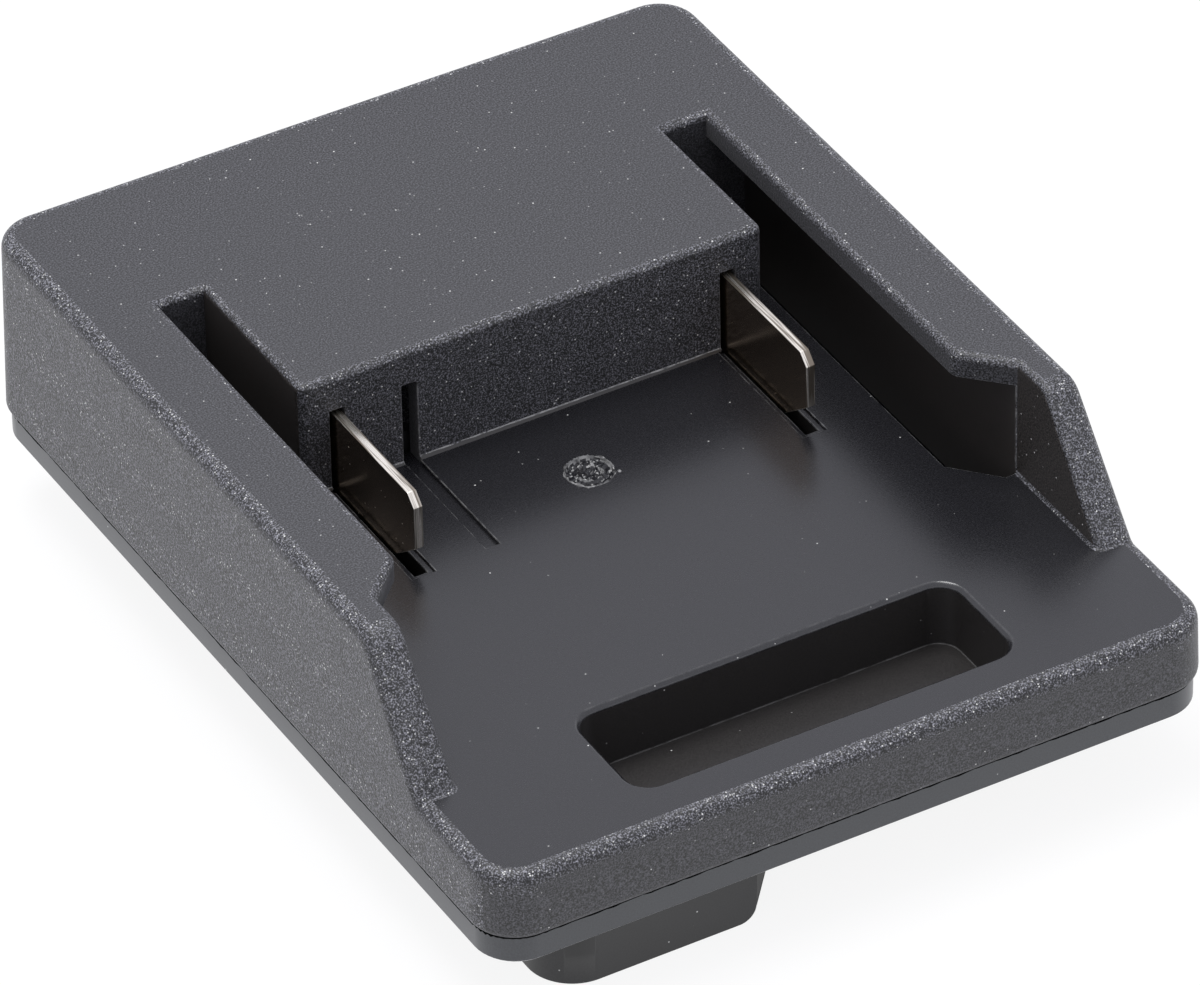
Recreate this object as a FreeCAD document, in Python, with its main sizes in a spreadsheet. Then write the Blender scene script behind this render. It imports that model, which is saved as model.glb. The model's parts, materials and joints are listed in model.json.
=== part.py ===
import FreeCAD, Part
import Sketcher
import math
import os
import re

# Battery adapter: a slide-on tray for a tool battery with a docking plug beneath.
# X runs across (left is minus), Y from the open front to the back, Z up.
# The origin is the middle of the underside that seats on the lamp or tool.

# Driving dimensions in millimetres and degrees
# Places along Y are measured back from the front edge.
SIZES = {
    "body_width": 80.0,
    "body_length": 103.0,
    "body_height": 24.0,
    "parting_height": 3.1,
    "deck_height": 10.7,
    "corner_radius": 5.0,
    "side_draft": 1.5,
    "top_round": 1.5,
    "wall": 2.0,
    "deck_wall": 2.0,
    "inner_wall": 1.5,
    "split_chamfer": 0.5,
    "ramp_foot": 14.8,
    "ramp_angle": 53.0,
    "ramp_top_round": 3.0,
    "bay_edge_round": 0.8,
    "bay_foot_bevel": 0.3,
    "mouth_width": 71.0,
    "rail_gap": 62.0,
    "lip_thickness": 2.8,
    "flare_front": 29.7,
    "flare_back": 34.3,
    "channel_width": 70.8,
    "window_gap": 60.0,
    "window_front_width": 68.4,
    "channel_back": 81.7,
    "core_slot_width": 1.0,
    "core_slot_length": 14.0,
    "core_slot_pitch": 16.5,
    "lip_corner": 1.5,
    "block_width": 52.2,
    "block_face": 62.2,
    "block_corner": 1.0,
    "blade_spacing": 44.0,
    "blade_thickness": 1.0,
    "blade_bottom": 10.2,
    "blade_top": 19.6,
    "blade_reach": 16.0,
    "blade_tip_chamfer": 1.2,
    "blade_heel_length": 4.2,
    "blade_heel_height": 3.3,
    "blade_seat": 6.8,
    "tab_width": 6.3,
    "tab_length": 10.0,
    "face_slot_width": 1.7,
    "face_slot_top": 20.0,
    "key_slot_offset": 14.0,
    "deck_slot_width": 1.4,
    "deck_slot_reach": 16.1,
    "slot_border": 0.6,
    "slot_border_depth": 0.3,
    "key_groove_width": 1.5,
    "key_groove_depth": 0.5,
    "gate_place": 51.6,
    "gate_width": 4.8,
    "gate_depth": 0.5,
    "pocket_front": 5.9,
    "pocket_back": 18.8,
    "pocket_width": 42.0,
    "pocket_depth": 7.0,
    "pocket_draft": 2.0,
    "pocket_corner": 2.5,
    "pocket_rim": 0.4,
    "screw_spacing": 53.0,
    "screw_front_place": 31.0,
    "screw_back_place": 95.0,
    "screw_width": 3.0,
    "screw_head_width": 5.4,
    "screw_head_height": 1.7,
    "cover_screw_length": 7.0,
    "carrier_screw_length": 9.0,
    "drive_width": 2.6,
    "drive_slot": 0.65,
    "drive_depth": 1.0,
    "screw_clearance": 0.1,
    "pilot_spare": 0.4,
    "boss_width": 6.2,
    "boss_joint_height": 3.4,
    "cover_inset": 0.5,
    "cover_bevel": 0.3,
    "cover_floor": 2.0,
    "cover_rim": 2.0,
    "tongue_height": 1.5,
    "tongue_thickness": 1.0,
    "tongue_front_length": 34.0,
    "tongue_back_length": 40.0,
    "fit_clearance": 0.15,
    "plug_inset": 8.25,
    "plug_width": 22.4,
    "plug_front": 4.0,
    "plug_length": 21.0,
    "plug_depth": 8.5,
    "plug_corner": 5.0,
    "plug_toe_round": 1.9,
    "plug_wall": 1.6,
    "plug_flange": 1.3,
    "plug_flange_thickness": 1.0,
    "plug_gusset": 2.6,
    "plug_gusset_depth": 6.8,
    "plug_gusset_set": 0.9,
    "plug_gusset_tip": 0.05,
    "plug_gusset_length": 10.0,
    "plug_slot_width": 1.6,
    "plug_slot_length": 7.0,
    "plug_slot_setback": 7.0,
    "contact_pitch": 10.0,
    "chamber_width": 4.6,
    "lid_thickness": 1.2,
    "lid_ledge": 0.8,
    "contact_metal": 0.5,
    "contact_height": 6.4,
    "contact_length": 6.0,
    "contact_gap": 1.0,
    "contact_gap_height": 1.9,
    "contact_belly": 3.4,
    "contact_belly_height": 4.5,
    "neck_width": 1.8,
    "barrel_wall": 0.4,
    "barrel_length": 4.0,
    "lead_width": 2.0,
    "lead_height": 5.3,
    "lead_hole_width": 2.6,
    "lead_lane": 8.0,
    "lead_back_gap": 7.0,
    "lead_facets": 6,
    "lead_lane_end": 56.0,
    "lead_turn_place": 37.2,
    "lead_boss_gap": 3.45,
    "lead_swing_back": 42.0,
    "lead_swing_front": 30.0,
    "carrier_front": 65.0,
    "carrier_length": 6.0,
    "carrier_bar_height": 3.0,
    "carrier_base": 9.2,
    "carrier_tower_width": 4.4,
    "carrier_tower_top": 20.5,
    "carrier_screw_spacing": 20.0,
    "receptacle_width": 7.6,
    "receptacle_thickness": 2.6,
    "receptacle_length": 7.5,
    "receptacle_end": 0.4,
    "receptacle_seam": 0.4,
    "receptacle_bevel": 0.5,
    "rib_thickness": 1.5,
    "rib_spacing": 36.0,
    "rib_front": 50.0,
    "post_width": 2.0,
    "overcut": 1.0,
}

doc = FreeCAD.newDocument("battery_adapter")
sheet = doc.addObject("Spreadsheet::Sheet", "size")
for row, (word, number) in enumerate(SIZES.items(), start=1):
    sheet.set(f"A{row}", word)
    sheet.set(f"B{row}", str(number))
    sheet.setAlias(f"B{row}", word)
doc.recompute()


def sized(text):
    """Put the sheet's name before each word that is a size."""
    return re.sub(r"\b([a-z][a-z_]*)\b(?!\()", r"size.\1", text)


def value(text):
    """The number that an expression of sizes gives."""
    return float(sheet.evalExpression(sized(text)))


def from_front(place):
    """Y of a place that is measured back from the front edge."""
    return f"({place}) - body_length / 2"


# Height of the middle of the blade, where its tab leaves the carrier
TAB_MIDDLE = "(blade_bottom + blade_top) / 2"

# Places from the front of the shoulder where the blade's tab starts, of the tab's end
# and of the receptacle's end wall
SHOULDER = "block_face + blade_seat"
TAB_END = f"{SHOULDER} + tab_length"
RECEPTACLE_BACK = f"{TAB_END} + screw_clearance + receptacle_end"

# Place of the barrels that hold the leads at the plug, at the back of their chambers
CONTACT_BARREL = "plug_front + plug_length - plug_wall - lead_width / 2 - barrel_wall - fit_clearance"

PLUG_LEFT = "-body_width / 2 + plug_inset"
PLUG_RIGHT = f"{PLUG_LEFT} + plug_width"
PLUG_MIDDLE = f"{PLUG_LEFT} + plug_width / 2"


def contact_place(side):
    """X of a contact chamber; side is -1 for the left one and 1 for the right one."""
    return f"{PLUG_MIDDLE} + {side} * contact_pitch / 2"


def new_body(label):
    body = doc.addObject("PartDesign::Body", label)
    body.Label = label
    return body


def origin_item(body, role):
    """One of the body's own planes or axes, in the form that features take."""
    return next(item for item in body.Origin.OriginFeatures if item.Role == role), [""]


def new_sketch(body, name, role, at="0"):
    """A sketch on one of the body's own planes, moved along its axis to a place."""
    sketch = body.newObject("Sketcher::SketchObject", name)
    sketch.AttachmentSupport = origin_item(body, role)
    sketch.MapMode = "FlatFace"
    # the XZ plane faces the front, so its offset runs against Y
    offset = f"-({at})" if role == "XZ_Plane" else at
    sketch.setExpression("AttachmentOffset.Base.z", sized(offset))
    return sketch


def outline(sketch, corners):
    """A closed line through corners, each a pair of expressions."""
    points = [FreeCAD.Vector(value(across), value(up), 0) for across, up in corners]
    count = len(points)
    first = sketch.GeometryCount
    for index in range(count):
        sketch.addGeometry(Part.LineSegment(points[index], points[(index + 1) % count]))
    for index in range(count):
        following = (index + 1) % count
        sketch.addConstraint(Sketcher.Constraint("Coincident", first + index, 2, first + following, 1))
        if corners[index][0] == corners[following][0]:
            sketch.addConstraint(Sketcher.Constraint("Vertical", first + index))
        if corners[index][1] == corners[following][1]:
            sketch.addConstraint(Sketcher.Constraint("Horizontal", first + index))
    for index in range(count):
        for axis, kind in enumerate(("DistanceX", "DistanceY")):
            if corners[index][axis] != corners[index - 1][axis]:
                place = Sketcher.Constraint(kind, -1, 1, first + index, 1, points[index][axis])
                number = sketch.addConstraint(place)
                sketch.setExpression(f"Constraints[{number}]", sized(corners[index][axis]))


def rectangle(sketch, left, right, low, high):
    outline(sketch, [(left, low), (right, low), (right, high), (left, high)])


def circle(sketch, across, up, width):
    centre = FreeCAD.Vector(value(across), value(up), 0)
    first = sketch.addGeometry(Part.Circle(centre, FreeCAD.Vector(0, 0, 1), value(width) / 2))
    for kind, text, start in (("DistanceX", across, centre.x), ("DistanceY", up, centre.y)):
        number = sketch.addConstraint(Sketcher.Constraint(kind, -1, 1, first, 3, start))
        sketch.setExpression(f"Constraints[{number}]", sized(text))
    number = sketch.addConstraint(Sketcher.Constraint("Diameter", first, value(width)))
    sketch.setExpression(f"Constraints[{number}]", sized(width))


def volume(body):
    return body.Tip.Shape.Volume if body.Tip else 0.0


def pad(body, sketch, length, back=False, both=False):
    """Add the sketch's shape, along its normal or back from it."""
    before = volume(body)
    feature = body.newObject("PartDesign::Pad", sketch.Name + "_pad")
    feature.Profile = (sketch, [""])
    feature.setExpression("Length", sized(length))
    feature.Reversed = back
    feature.Midplane = both
    doc.recompute()
    if volume(body) <= before:
        raise ValueError(f"{feature.Name} added nothing")
    return feature


def pocket(body, sketch, length, back=False, taper=None, both=False):
    """Cut the sketch's shape, against its normal or, with back, along it."""
    before = volume(body)
    feature = body.newObject("PartDesign::Pocket", sketch.Name + "_pocket")
    feature.Profile = (sketch, [""])
    feature.setExpression("Length", sized(length))
    feature.Reversed = back
    feature.Midplane = both
    if taper:
        feature.setExpression("TaperAngle", sized(taper))
    doc.recompute()
    if volume(body) >= before:
        raise ValueError(f"{feature.Name} cut nothing")
    return feature


def finish_edges(body, name, kind, size, chosen):
    """Round or chamfer the edges of the body for which chosen(edge) is true."""
    base = body.Tip
    edges = [f"Edge{number}" for number, edge in enumerate(base.Shape.Edges, start=1) if chosen(edge)]
    if not edges:
        raise ValueError(f"{name} found no edge")
    feature = body.newObject(f"PartDesign::{kind}", name)
    feature.Base = (base, edges)
    feature.setExpression("Radius" if kind == "Fillet" else "Size", sized(size))
    doc.recompute()
    if "Invalid" in feature.State or "Error" in feature.State:
        raise ValueError(f"{name} failed on {len(edges)} edges")


def mirror(body, original):
    """The same feature on the other side of the middle."""
    before = volume(body)
    feature = body.newObject("PartDesign::Mirrored", original.Name + "_mirrored")
    feature.Originals = [original]
    feature.MirrorPlane = origin_item(body, "YZ_Plane")
    body.Tip = feature
    doc.recompute()
    if abs(volume(body) - before) < 1e-6:
        raise ValueError(f"{feature.Name} changed nothing")


def upright(edge):
    """True for an edge that runs up and down, give or take the draft."""
    run = edge.Vertexes[-1].Point - edge.Vertexes[0].Point
    return run.Length > 0 and run.z ** 2 > 4 * (run.x ** 2 + run.y ** 2)


def close(first, second, tolerance=0.01):
    return abs(first - second) < tolerance


HALF_LENGTH = value("body_length / 2")
HALF_WIDTH = value("body_width / 2")


# Upper housing: tray with the battery rails, terminal block and latch pocket
def build_top_housing():
    body = new_body("top_housing")
    shell = new_sketch(body, "shell", "XY_Plane", "parting_height")
    rectangle(shell, "-body_width / 2", "body_width / 2", "-body_length / 2", "body_length / 2")
    pad(body, shell, "body_height - parting_height")
    finish_edges(body, "corners", "Fillet", "corner_radius", upright)
    lean_sides(body)
    finish_edges(body, "split_line", "Chamfer", "split_chamfer",
                 lambda edge: close(edge.BoundBox.ZMax, value("parting_height")))
    cut_ramp(body)
    round_outside(body)
    cut_bay(body)
    hollow_underside(body)
    add_inner_supports(body)
    cut_channels(body)
    cut_slots(body)
    cut_latch_pocket(body)
    mark_gate(body)
    return body


def lean_sides(body):
    """Draft on the outer walls, so that the moulding leaves its tool."""
    base = body.Tip
    faces = {f"Face{number}": face for number, face in enumerate(base.Shape.Faces, start=1)}
    draft = body.newObject("PartDesign::Draft", "outer_draft")
    draft.Base = (base, [name for name, face in faces.items() if not close(face.BoundBox.ZLength, 0)])
    draft.NeutralPlane = (base, [name for name, face in faces.items()
                                 if close(face.BoundBox.ZMax, value("parting_height"))])
    draft.setExpression("Angle", sized("side_draft"))
    doc.recompute()
    if volume(body) >= base.Shape.Volume:
        raise ValueError("the outer walls lean outwards")


def cut_ramp(body):
    """The ramped front of the side walls, down to the deck."""
    slope_top = "ramp_foot + (body_height - deck_height) / tan(ramp_angle)"
    ramp = new_sketch(body, "ramp", "YZ_Plane")
    outline(ramp, [
        (from_front("-overcut"), "deck_height"),
        (from_front("ramp_foot"), "deck_height"),
        (from_front(slope_top), "body_height"),
        (from_front(slope_top), "body_height + overcut"),
        (from_front("-overcut"), "body_height + overcut"),
    ])
    pocket(body, ramp, "body_width + 2 * overcut", both=True)
    spot = FreeCAD.Vector(0, value(from_front(slope_top)), value("body_height"))
    finish_edges(body, "ramp_top", "Fillet", "ramp_top_round",
                 lambda edge: close(edge.CenterOfMass.distanceToPoint(spot), 0))


def round_outside(body):
    """Soft outer edges round the top, down the ramps and along the deck's front."""
    lean = value("(body_height - parting_height) * tan(side_draft)")
    inner_corner = HALF_WIDTH - lean - value("corner_radius / 2")
    lowest = value("deck_height - side_draft / 100")

    def outer_top(edge):
        middle = edge.CenterOfMass
        across = edge.BoundBox.XLength > HALF_WIDTH
        outside = abs(middle.y) > HALF_LENGTH - 2 * lean if across else abs(middle.x) > inner_corner
        return outside and not upright(edge) and middle.z > lowest

    finish_edges(body, "outer_round", "Fillet", "top_round", outer_top)


def cut_bay(body):
    """The bay that the battery slides into, with soft edges at the top and at its foot."""
    bay = new_sketch(body, "bay", "XY_Plane", "body_height")
    outline(bay, [
        ("-mouth_width / 2", from_front("-overcut")),
        ("mouth_width / 2", from_front("-overcut")),
        ("mouth_width / 2", from_front("flare_front")),
        ("rail_gap / 2", from_front("flare_back")),
        ("rail_gap / 2", from_front("channel_back")),
        ("block_width / 2", from_front("channel_back")),
        ("block_width / 2", from_front("block_face")),
        ("-block_width / 2", from_front("block_face")),
        ("-block_width / 2", from_front("channel_back")),
        ("-rail_gap / 2", from_front("channel_back")),
        ("-rail_gap / 2", from_front("flare_back")),
        ("-mouth_width / 2", from_front("flare_front")),
    ])
    pocket(body, bay, "body_height - deck_height")
    for name, across, place, size in (
            ("lip_corners", "rail_gap / 2", "flare_back", "lip_corner"),
            ("block_corners", "block_width / 2", "block_face", "block_corner")):
        x = value(across)
        y = value(from_front(place))
        finish_edges(body, name, "Fillet", size, lambda edge: (
            upright(edge) and close(abs(edge.CenterOfMass.x), x) and close(edge.CenterOfMass.y, y)))
    half_mouth = value("mouth_width / 2")
    deck = value("deck_height")
    bay_back = value(from_front("channel_back + overcut"))
    bay_front = value(from_front("ramp_foot - overcut"))

    def bay_top(edge):
        box = edge.BoundBox
        inside = close(max(-box.XMin, box.XMax, half_mouth), half_mouth) and box.YMax < bay_back
        slanting = box.YLength > box.ZLength / 2 or box.XLength > box.ZLength
        return inside and slanting and not close(box.ZMax, deck)

    def bay_foot(edge):
        box = edge.BoundBox
        return close(box.ZMin, deck) and close(box.ZMax, deck) and box.YMin > bay_front

    finish_edges(body, "bay_edge", "Fillet", "bay_edge_round", bay_top)
    finish_edges(body, "bay_foot", "Chamfer", "bay_foot_bevel", bay_foot)


def hollow_underside(body):
    """The room under the deck, behind the rails and inside the terminal block."""
    low = new_sketch(body, "low_room", "XY_Plane", "parting_height")
    wide = "body_width / 2 - wall"
    near = "channel_width / 2"
    front_wall = from_front("flare_front - wall")
    back_wall = from_front("channel_back + wall")
    outline(low, [
        (f"-({wide})", from_front("wall")),
        (wide, from_front("wall")),
        (wide, front_wall),
        (near, front_wall),
        (near, back_wall),
        (wide, back_wall),
        (wide, from_front("body_length - wall")),
        (f"-({wide})", from_front("body_length - wall")),
        (f"-({wide})", back_wall),
        (f"-({near})", back_wall),
        (f"-({near})", front_wall),
        (f"-({wide})", front_wall),
    ])
    pocket(body, low, "deck_height - deck_wall - parting_height", back=True)
    for name, half, front, back in (
            ("back_room", wide, "channel_back + wall", "body_length - wall"),
            ("block_room", "block_width / 2 - wall", "block_face + wall", "channel_back + 2 * wall")):
        room = new_sketch(body, name, "XY_Plane", "parting_height")
        rectangle(room, f"-({half})", half, from_front(front), from_front(back))
        pocket(body, room, "body_height - wall - parting_height", back=True)
    slots = new_sketch(body, "core_slots", "XY_Plane", "parting_height")
    for step in range(3):
        start = f"flare_front + wall + {step} * core_slot_pitch"
        rectangle(slots, "body_width / 2 - wall - core_slot_width", "body_width / 2 - wall",
                  from_front(start), from_front(f"{start} + core_slot_length"))
    cut = pocket(body, slots, "body_height - lip_thickness - parting_height", back=True)
    mirror(body, cut)


def add_inner_supports(body):
    """Screw bosses, carrier bosses, deck ribs, hold-down posts and the box round the latch pocket."""
    box = new_sketch(body, "pocket_box", "XY_Plane", "deck_height - pocket_depth - inner_wall")
    rectangle(box, "-pocket_width / 2 - inner_wall", "pocket_width / 2 + inner_wall",
              from_front("pocket_front - inner_wall"), from_front("pocket_back + inner_wall"))
    pad(body, box, "pocket_depth + inner_wall - deck_wall / 2")
    front = new_sketch(body, "front_bosses", "XY_Plane", "boss_joint_height")
    circle(front, "screw_spacing / 2", from_front("screw_front_place"), "boss_width")
    front_pad = pad(body, front, "deck_height - deck_wall / 2 - boss_joint_height")
    mirror(body, front_pad)
    back = new_sketch(body, "back_bosses", "XY_Plane", "boss_joint_height")
    circle(back, "screw_spacing / 2", from_front("screw_back_place"), "boss_width")
    back_pad = pad(body, back, "body_height - wall / 2 - boss_joint_height")
    mirror(body, back_pad)
    hang = new_sketch(body, "carrier_bosses", "XY_Plane", "carrier_base + carrier_bar_height")
    circle(hang, "carrier_screw_spacing / 2", from_front("carrier_front + carrier_length / 2"), "boss_width")
    hang_pad = pad(body, hang, "body_height - wall / 2 - carrier_base - carrier_bar_height")
    mirror(body, hang_pad)
    rib = new_sketch(body, "deck_rib", "XY_Plane", "parting_height")
    rectangle(rib, "(rib_spacing - rib_thickness) / 2", "(rib_spacing + rib_thickness) / 2",
              from_front("rib_front"), from_front("block_face"))
    rib_pad = pad(body, rib, "deck_height - deck_wall / 2 - parting_height")
    mirror(body, rib_pad)
    posts = new_sketch(body, "hold_down_posts", "XY_Plane", "cover_floor + fit_clearance")
    for side in ("-1", "1"):
        centre = f"{PLUG_MIDDLE} + {side} * (plug_width / 2 - post_width)"
        rectangle(posts, f"{centre} - post_width / 2", f"{centre} + post_width / 2",
                  from_front("plug_front + plug_length - plug_wall / 2"),
                  from_front("plug_front + plug_length + plug_flange"))
    pad(body, posts, "deck_height - deck_wall / 2 - cover_floor - fit_clearance")
    hole = "screw_width + screw_clearance"
    cover_depth = "screw_clearance + screw_head_height + cover_screw_length - boss_joint_height + pilot_spare"
    for name, place, spacing, start, depth in (
            ("front_pilots", "screw_front_place", "screw_spacing", "boss_joint_height", cover_depth),
            ("back_pilots", "screw_back_place", "screw_spacing", "boss_joint_height", cover_depth),
            ("carrier_pilots", "carrier_front + carrier_length / 2", "carrier_screw_spacing",
             "carrier_base + carrier_bar_height", "carrier_screw_length - carrier_bar_height + pilot_spare")):
        pilots = new_sketch(body, name, "XY_Plane", start)
        circle(pilots, f"{spacing} / 2", from_front(place), hole)
        circle(pilots, f"-{spacing} / 2", from_front(place), hole)
        pocket(body, pilots, depth, back=True)


def cut_channels(body):
    """The undercut channels below the rail lips, cut up through the deck as windows."""
    window = new_sketch(body, "channel", "XY_Plane", "parting_height - overcut")
    outline(window, [
        ("channel_width / 2", from_front("flare_front")),
        ("channel_width / 2", from_front("channel_back")),
        ("window_gap / 2", from_front("channel_back")),
        ("window_gap / 2", from_front("flare_back")),
        ("window_front_width / 2", from_front("flare_front")),
    ])
    cut = pocket(body, window, "body_height - lip_thickness - parting_height + overcut", back=True)
    mirror(body, cut)


def cut_slots(body):
    """Blade slots and the empty key slot, in the block's face and in the deck."""
    face = new_sketch(body, "face_slots", "XZ_Plane", from_front("block_face - bay_foot_bevel"))
    for middle in ("-blade_spacing / 2", "blade_spacing / 2"):
        rectangle(face, f"{middle} - face_slot_width / 2", f"{middle} + face_slot_width / 2",
                  "deck_height - deck_wall - overcut", "face_slot_top")
    rectangle(face, "-key_slot_offset - face_slot_width / 2", "-key_slot_offset + face_slot_width / 2",
              "deck_height - key_groove_depth", "face_slot_top")
    pocket(body, face, "bay_foot_bevel + wall + overcut")
    border = new_sketch(body, "slot_borders", "XY_Plane", "deck_height")
    deep = new_sketch(body, "deck_slots", "XY_Plane", "deck_height")
    for middle in ("-blade_spacing / 2", "blade_spacing / 2"):
        rectangle(border, f"{middle} - deck_slot_width / 2 - slot_border",
                  f"{middle} + deck_slot_width / 2 + slot_border",
                  from_front("block_face - deck_slot_reach - slot_border"), from_front("block_face"))
        rectangle(deep, f"{middle} - deck_slot_width / 2", f"{middle} + deck_slot_width / 2",
                  from_front("block_face - deck_slot_reach"), from_front("block_face + wall + overcut"))
    pocket(body, border, "slot_border_depth")
    pocket(body, deep, "deck_wall + overcut")
    groove = new_sketch(body, "key_groove", "XY_Plane", "deck_height")
    rectangle(groove, "-key_slot_offset - key_groove_width / 2", "-key_slot_offset + key_groove_width / 2",
              from_front("block_face - deck_slot_reach"), from_front("block_face"))
    pocket(body, groove, "key_groove_depth")


def cut_latch_pocket(body):
    """The pocket that the battery's latch drops into, drafted and soft at the rim."""
    hollow = new_sketch(body, "latch_pocket", "XY_Plane", "deck_height")
    rectangle(hollow, "-pocket_width / 2", "pocket_width / 2",
              from_front("pocket_front"), from_front("pocket_back"))
    pocket(body, hollow, "pocket_depth", taper="-pocket_draft")
    front = value(from_front("pocket_front"))
    back = value(from_front("pocket_back"))
    half = value("pocket_width / 2")
    deck = value("deck_height")
    lean = value("pocket_depth * tan(pocket_draft)")

    def pocket_corner(edge):
        middle = edge.CenterOfMass
        at_side = close(abs(middle.x), half, lean)
        at_end = close(middle.y, front, lean) or close(middle.y, back, lean)
        return upright(edge) and at_side and at_end and middle.z < deck

    def pocket_rim(edge):
        box = edge.BoundBox
        across = max(-box.XMin, box.XMax) < half + lean
        along = box.YMin > front - lean and box.YMax < back + lean
        return close(box.ZMin, deck) and close(box.ZMax, deck) and across and along

    finish_edges(body, "pocket_corners", "Fillet", "pocket_corner", pocket_corner)
    finish_edges(body, "pocket_rim", "Chamfer", "pocket_rim", pocket_rim)


def mark_gate(body):
    """The shallow round dish that the moulding's gate leaves in the deck."""
    dish = new_sketch(body, "gate_dish", "XY_Plane", "deck_height")
    circle(dish, "0", from_front("gate_place"), "gate_width")
    pocket(body, dish, "gate_depth")


# Bottom cover: flat tray that closes the housing and holds the docking plug
def build_bottom_cover():
    body = new_body("bottom_cover")
    half = "body_width / 2 - cover_inset"
    plate = new_sketch(body, "plate", "XY_Plane")
    rectangle(plate, f"-({half})", half, from_front("cover_inset"), from_front("body_length - cover_inset"))
    pad(body, plate, "parting_height")
    finish_edges(body, "plate_corners", "Fillet", "corner_radius - cover_inset", upright)
    finish_edges(body, "plate_bevel", "Chamfer", "cover_bevel",
                 lambda edge: close(edge.BoundBox.ZMax, 0))
    tray = new_sketch(body, "tray", "XY_Plane", "parting_height")
    rectangle(tray, f"-({half} - cover_rim)", f"{half} - cover_rim",
              from_front("cover_inset + cover_rim"), from_front("body_length - cover_inset - cover_rim"))
    pocket(body, tray, "parting_height - cover_floor")
    add_cover_bosses(body)
    add_tongues(body)
    cut_plug_opening(body)
    return body


def add_cover_bosses(body):
    """Raised seats for the four screws, recessed for their heads from below."""
    seats = new_sketch(body, "screw_seats", "XY_Plane", "cover_floor / 2")
    heads = new_sketch(body, "screw_heads", "XY_Plane")
    holes = new_sketch(body, "screw_holes", "XY_Plane")
    for across in ("-screw_spacing / 2", "screw_spacing / 2"):
        for place in ("screw_front_place", "screw_back_place"):
            circle(seats, across, from_front(place), "boss_width + 2 * screw_clearance")
            circle(heads, across, from_front(place), "screw_head_width + 4 * screw_clearance")
            circle(holes, across, from_front(place), "screw_width + 2 * screw_clearance")
    pad(body, seats, "boss_joint_height - cover_floor / 2")
    pocket(body, heads, "screw_head_height + screw_clearance", back=True)
    pocket(body, holes, "boss_joint_height + overcut", back=True)


def add_tongues(body):
    """Tongues that stand inside the housing's front and back walls and line the cover up."""
    tongues = new_sketch(body, "tongues", "XY_Plane", "parting_height")
    front_face = "wall + fit_clearance"
    back_face = "body_length - wall - fit_clearance"
    rectangle(tongues, "-tongue_front_length / 2", "tongue_front_length / 2",
              from_front(front_face), from_front(f"{front_face} + tongue_thickness"))
    rectangle(tongues, "-tongue_back_length / 2", "tongue_back_length / 2",
              from_front(f"{back_face} - tongue_thickness"), from_front(back_face))
    pad(body, tongues, "tongue_height")
    roots = new_sketch(body, "tongue_roots", "XY_Plane", "cover_floor")
    rectangle(roots, "-tongue_front_length / 2", "tongue_front_length / 2",
              from_front("cover_inset + cover_rim / 2"), from_front(f"{front_face} + tongue_thickness"))
    rectangle(roots, "-tongue_back_length / 2", "tongue_back_length / 2",
              from_front(f"{back_face} - tongue_thickness"),
              from_front("body_length - cover_inset - cover_rim / 2"))
    pad(body, roots, "parting_height - cover_floor")


def plug_edges(grow):
    """Left, right, front and back of the plug, moved outwards by grow."""
    return (f"{PLUG_LEFT} - ({grow})", f"{PLUG_RIGHT} + ({grow})",
            from_front(f"plug_front - ({grow})"), from_front(f"plug_front + plug_length + ({grow})"))


def flange_edges(grow):
    """Left, right, front and back of the plug's flange, which also covers the gusset."""
    left, right, front, back = plug_edges(f"plug_flange + {grow}")
    return left, f"{right} + plug_gusset", front, back


def cut_plug_opening(body):
    """The opening for the docking plug, with a rebate for its flange."""
    left, right, front, back = plug_edges("fit_clearance")
    notch_back = from_front("plug_front + plug_gusset_length + fit_clearance")
    opening = new_sketch(body, "plug_opening", "XY_Plane", "cover_floor")
    outline(opening, [
        (left, front),
        (right, front),
        (f"{right} + plug_gusset", f"{front} + plug_gusset_set"),
        (f"{right} + plug_gusset", notch_back),
        (right, notch_back),
        (right, back),
        (left, back),
    ])
    pocket(body, opening, "cover_floor + overcut")
    left_side = value(left)
    finish_edges(body, "opening_corners", "Fillet", "plug_corner + fit_clearance",
                 lambda edge: upright(edge) and close(edge.CenterOfMass.x, left_side))
    rebate = new_sketch(body, "flange_rebate", "XY_Plane", "cover_floor + tongue_height + parting_height")
    rectangle(rebate, *flange_edges("fit_clearance"))
    pocket(body, rebate, "tongue_height + parting_height + plug_flange_thickness")


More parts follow.
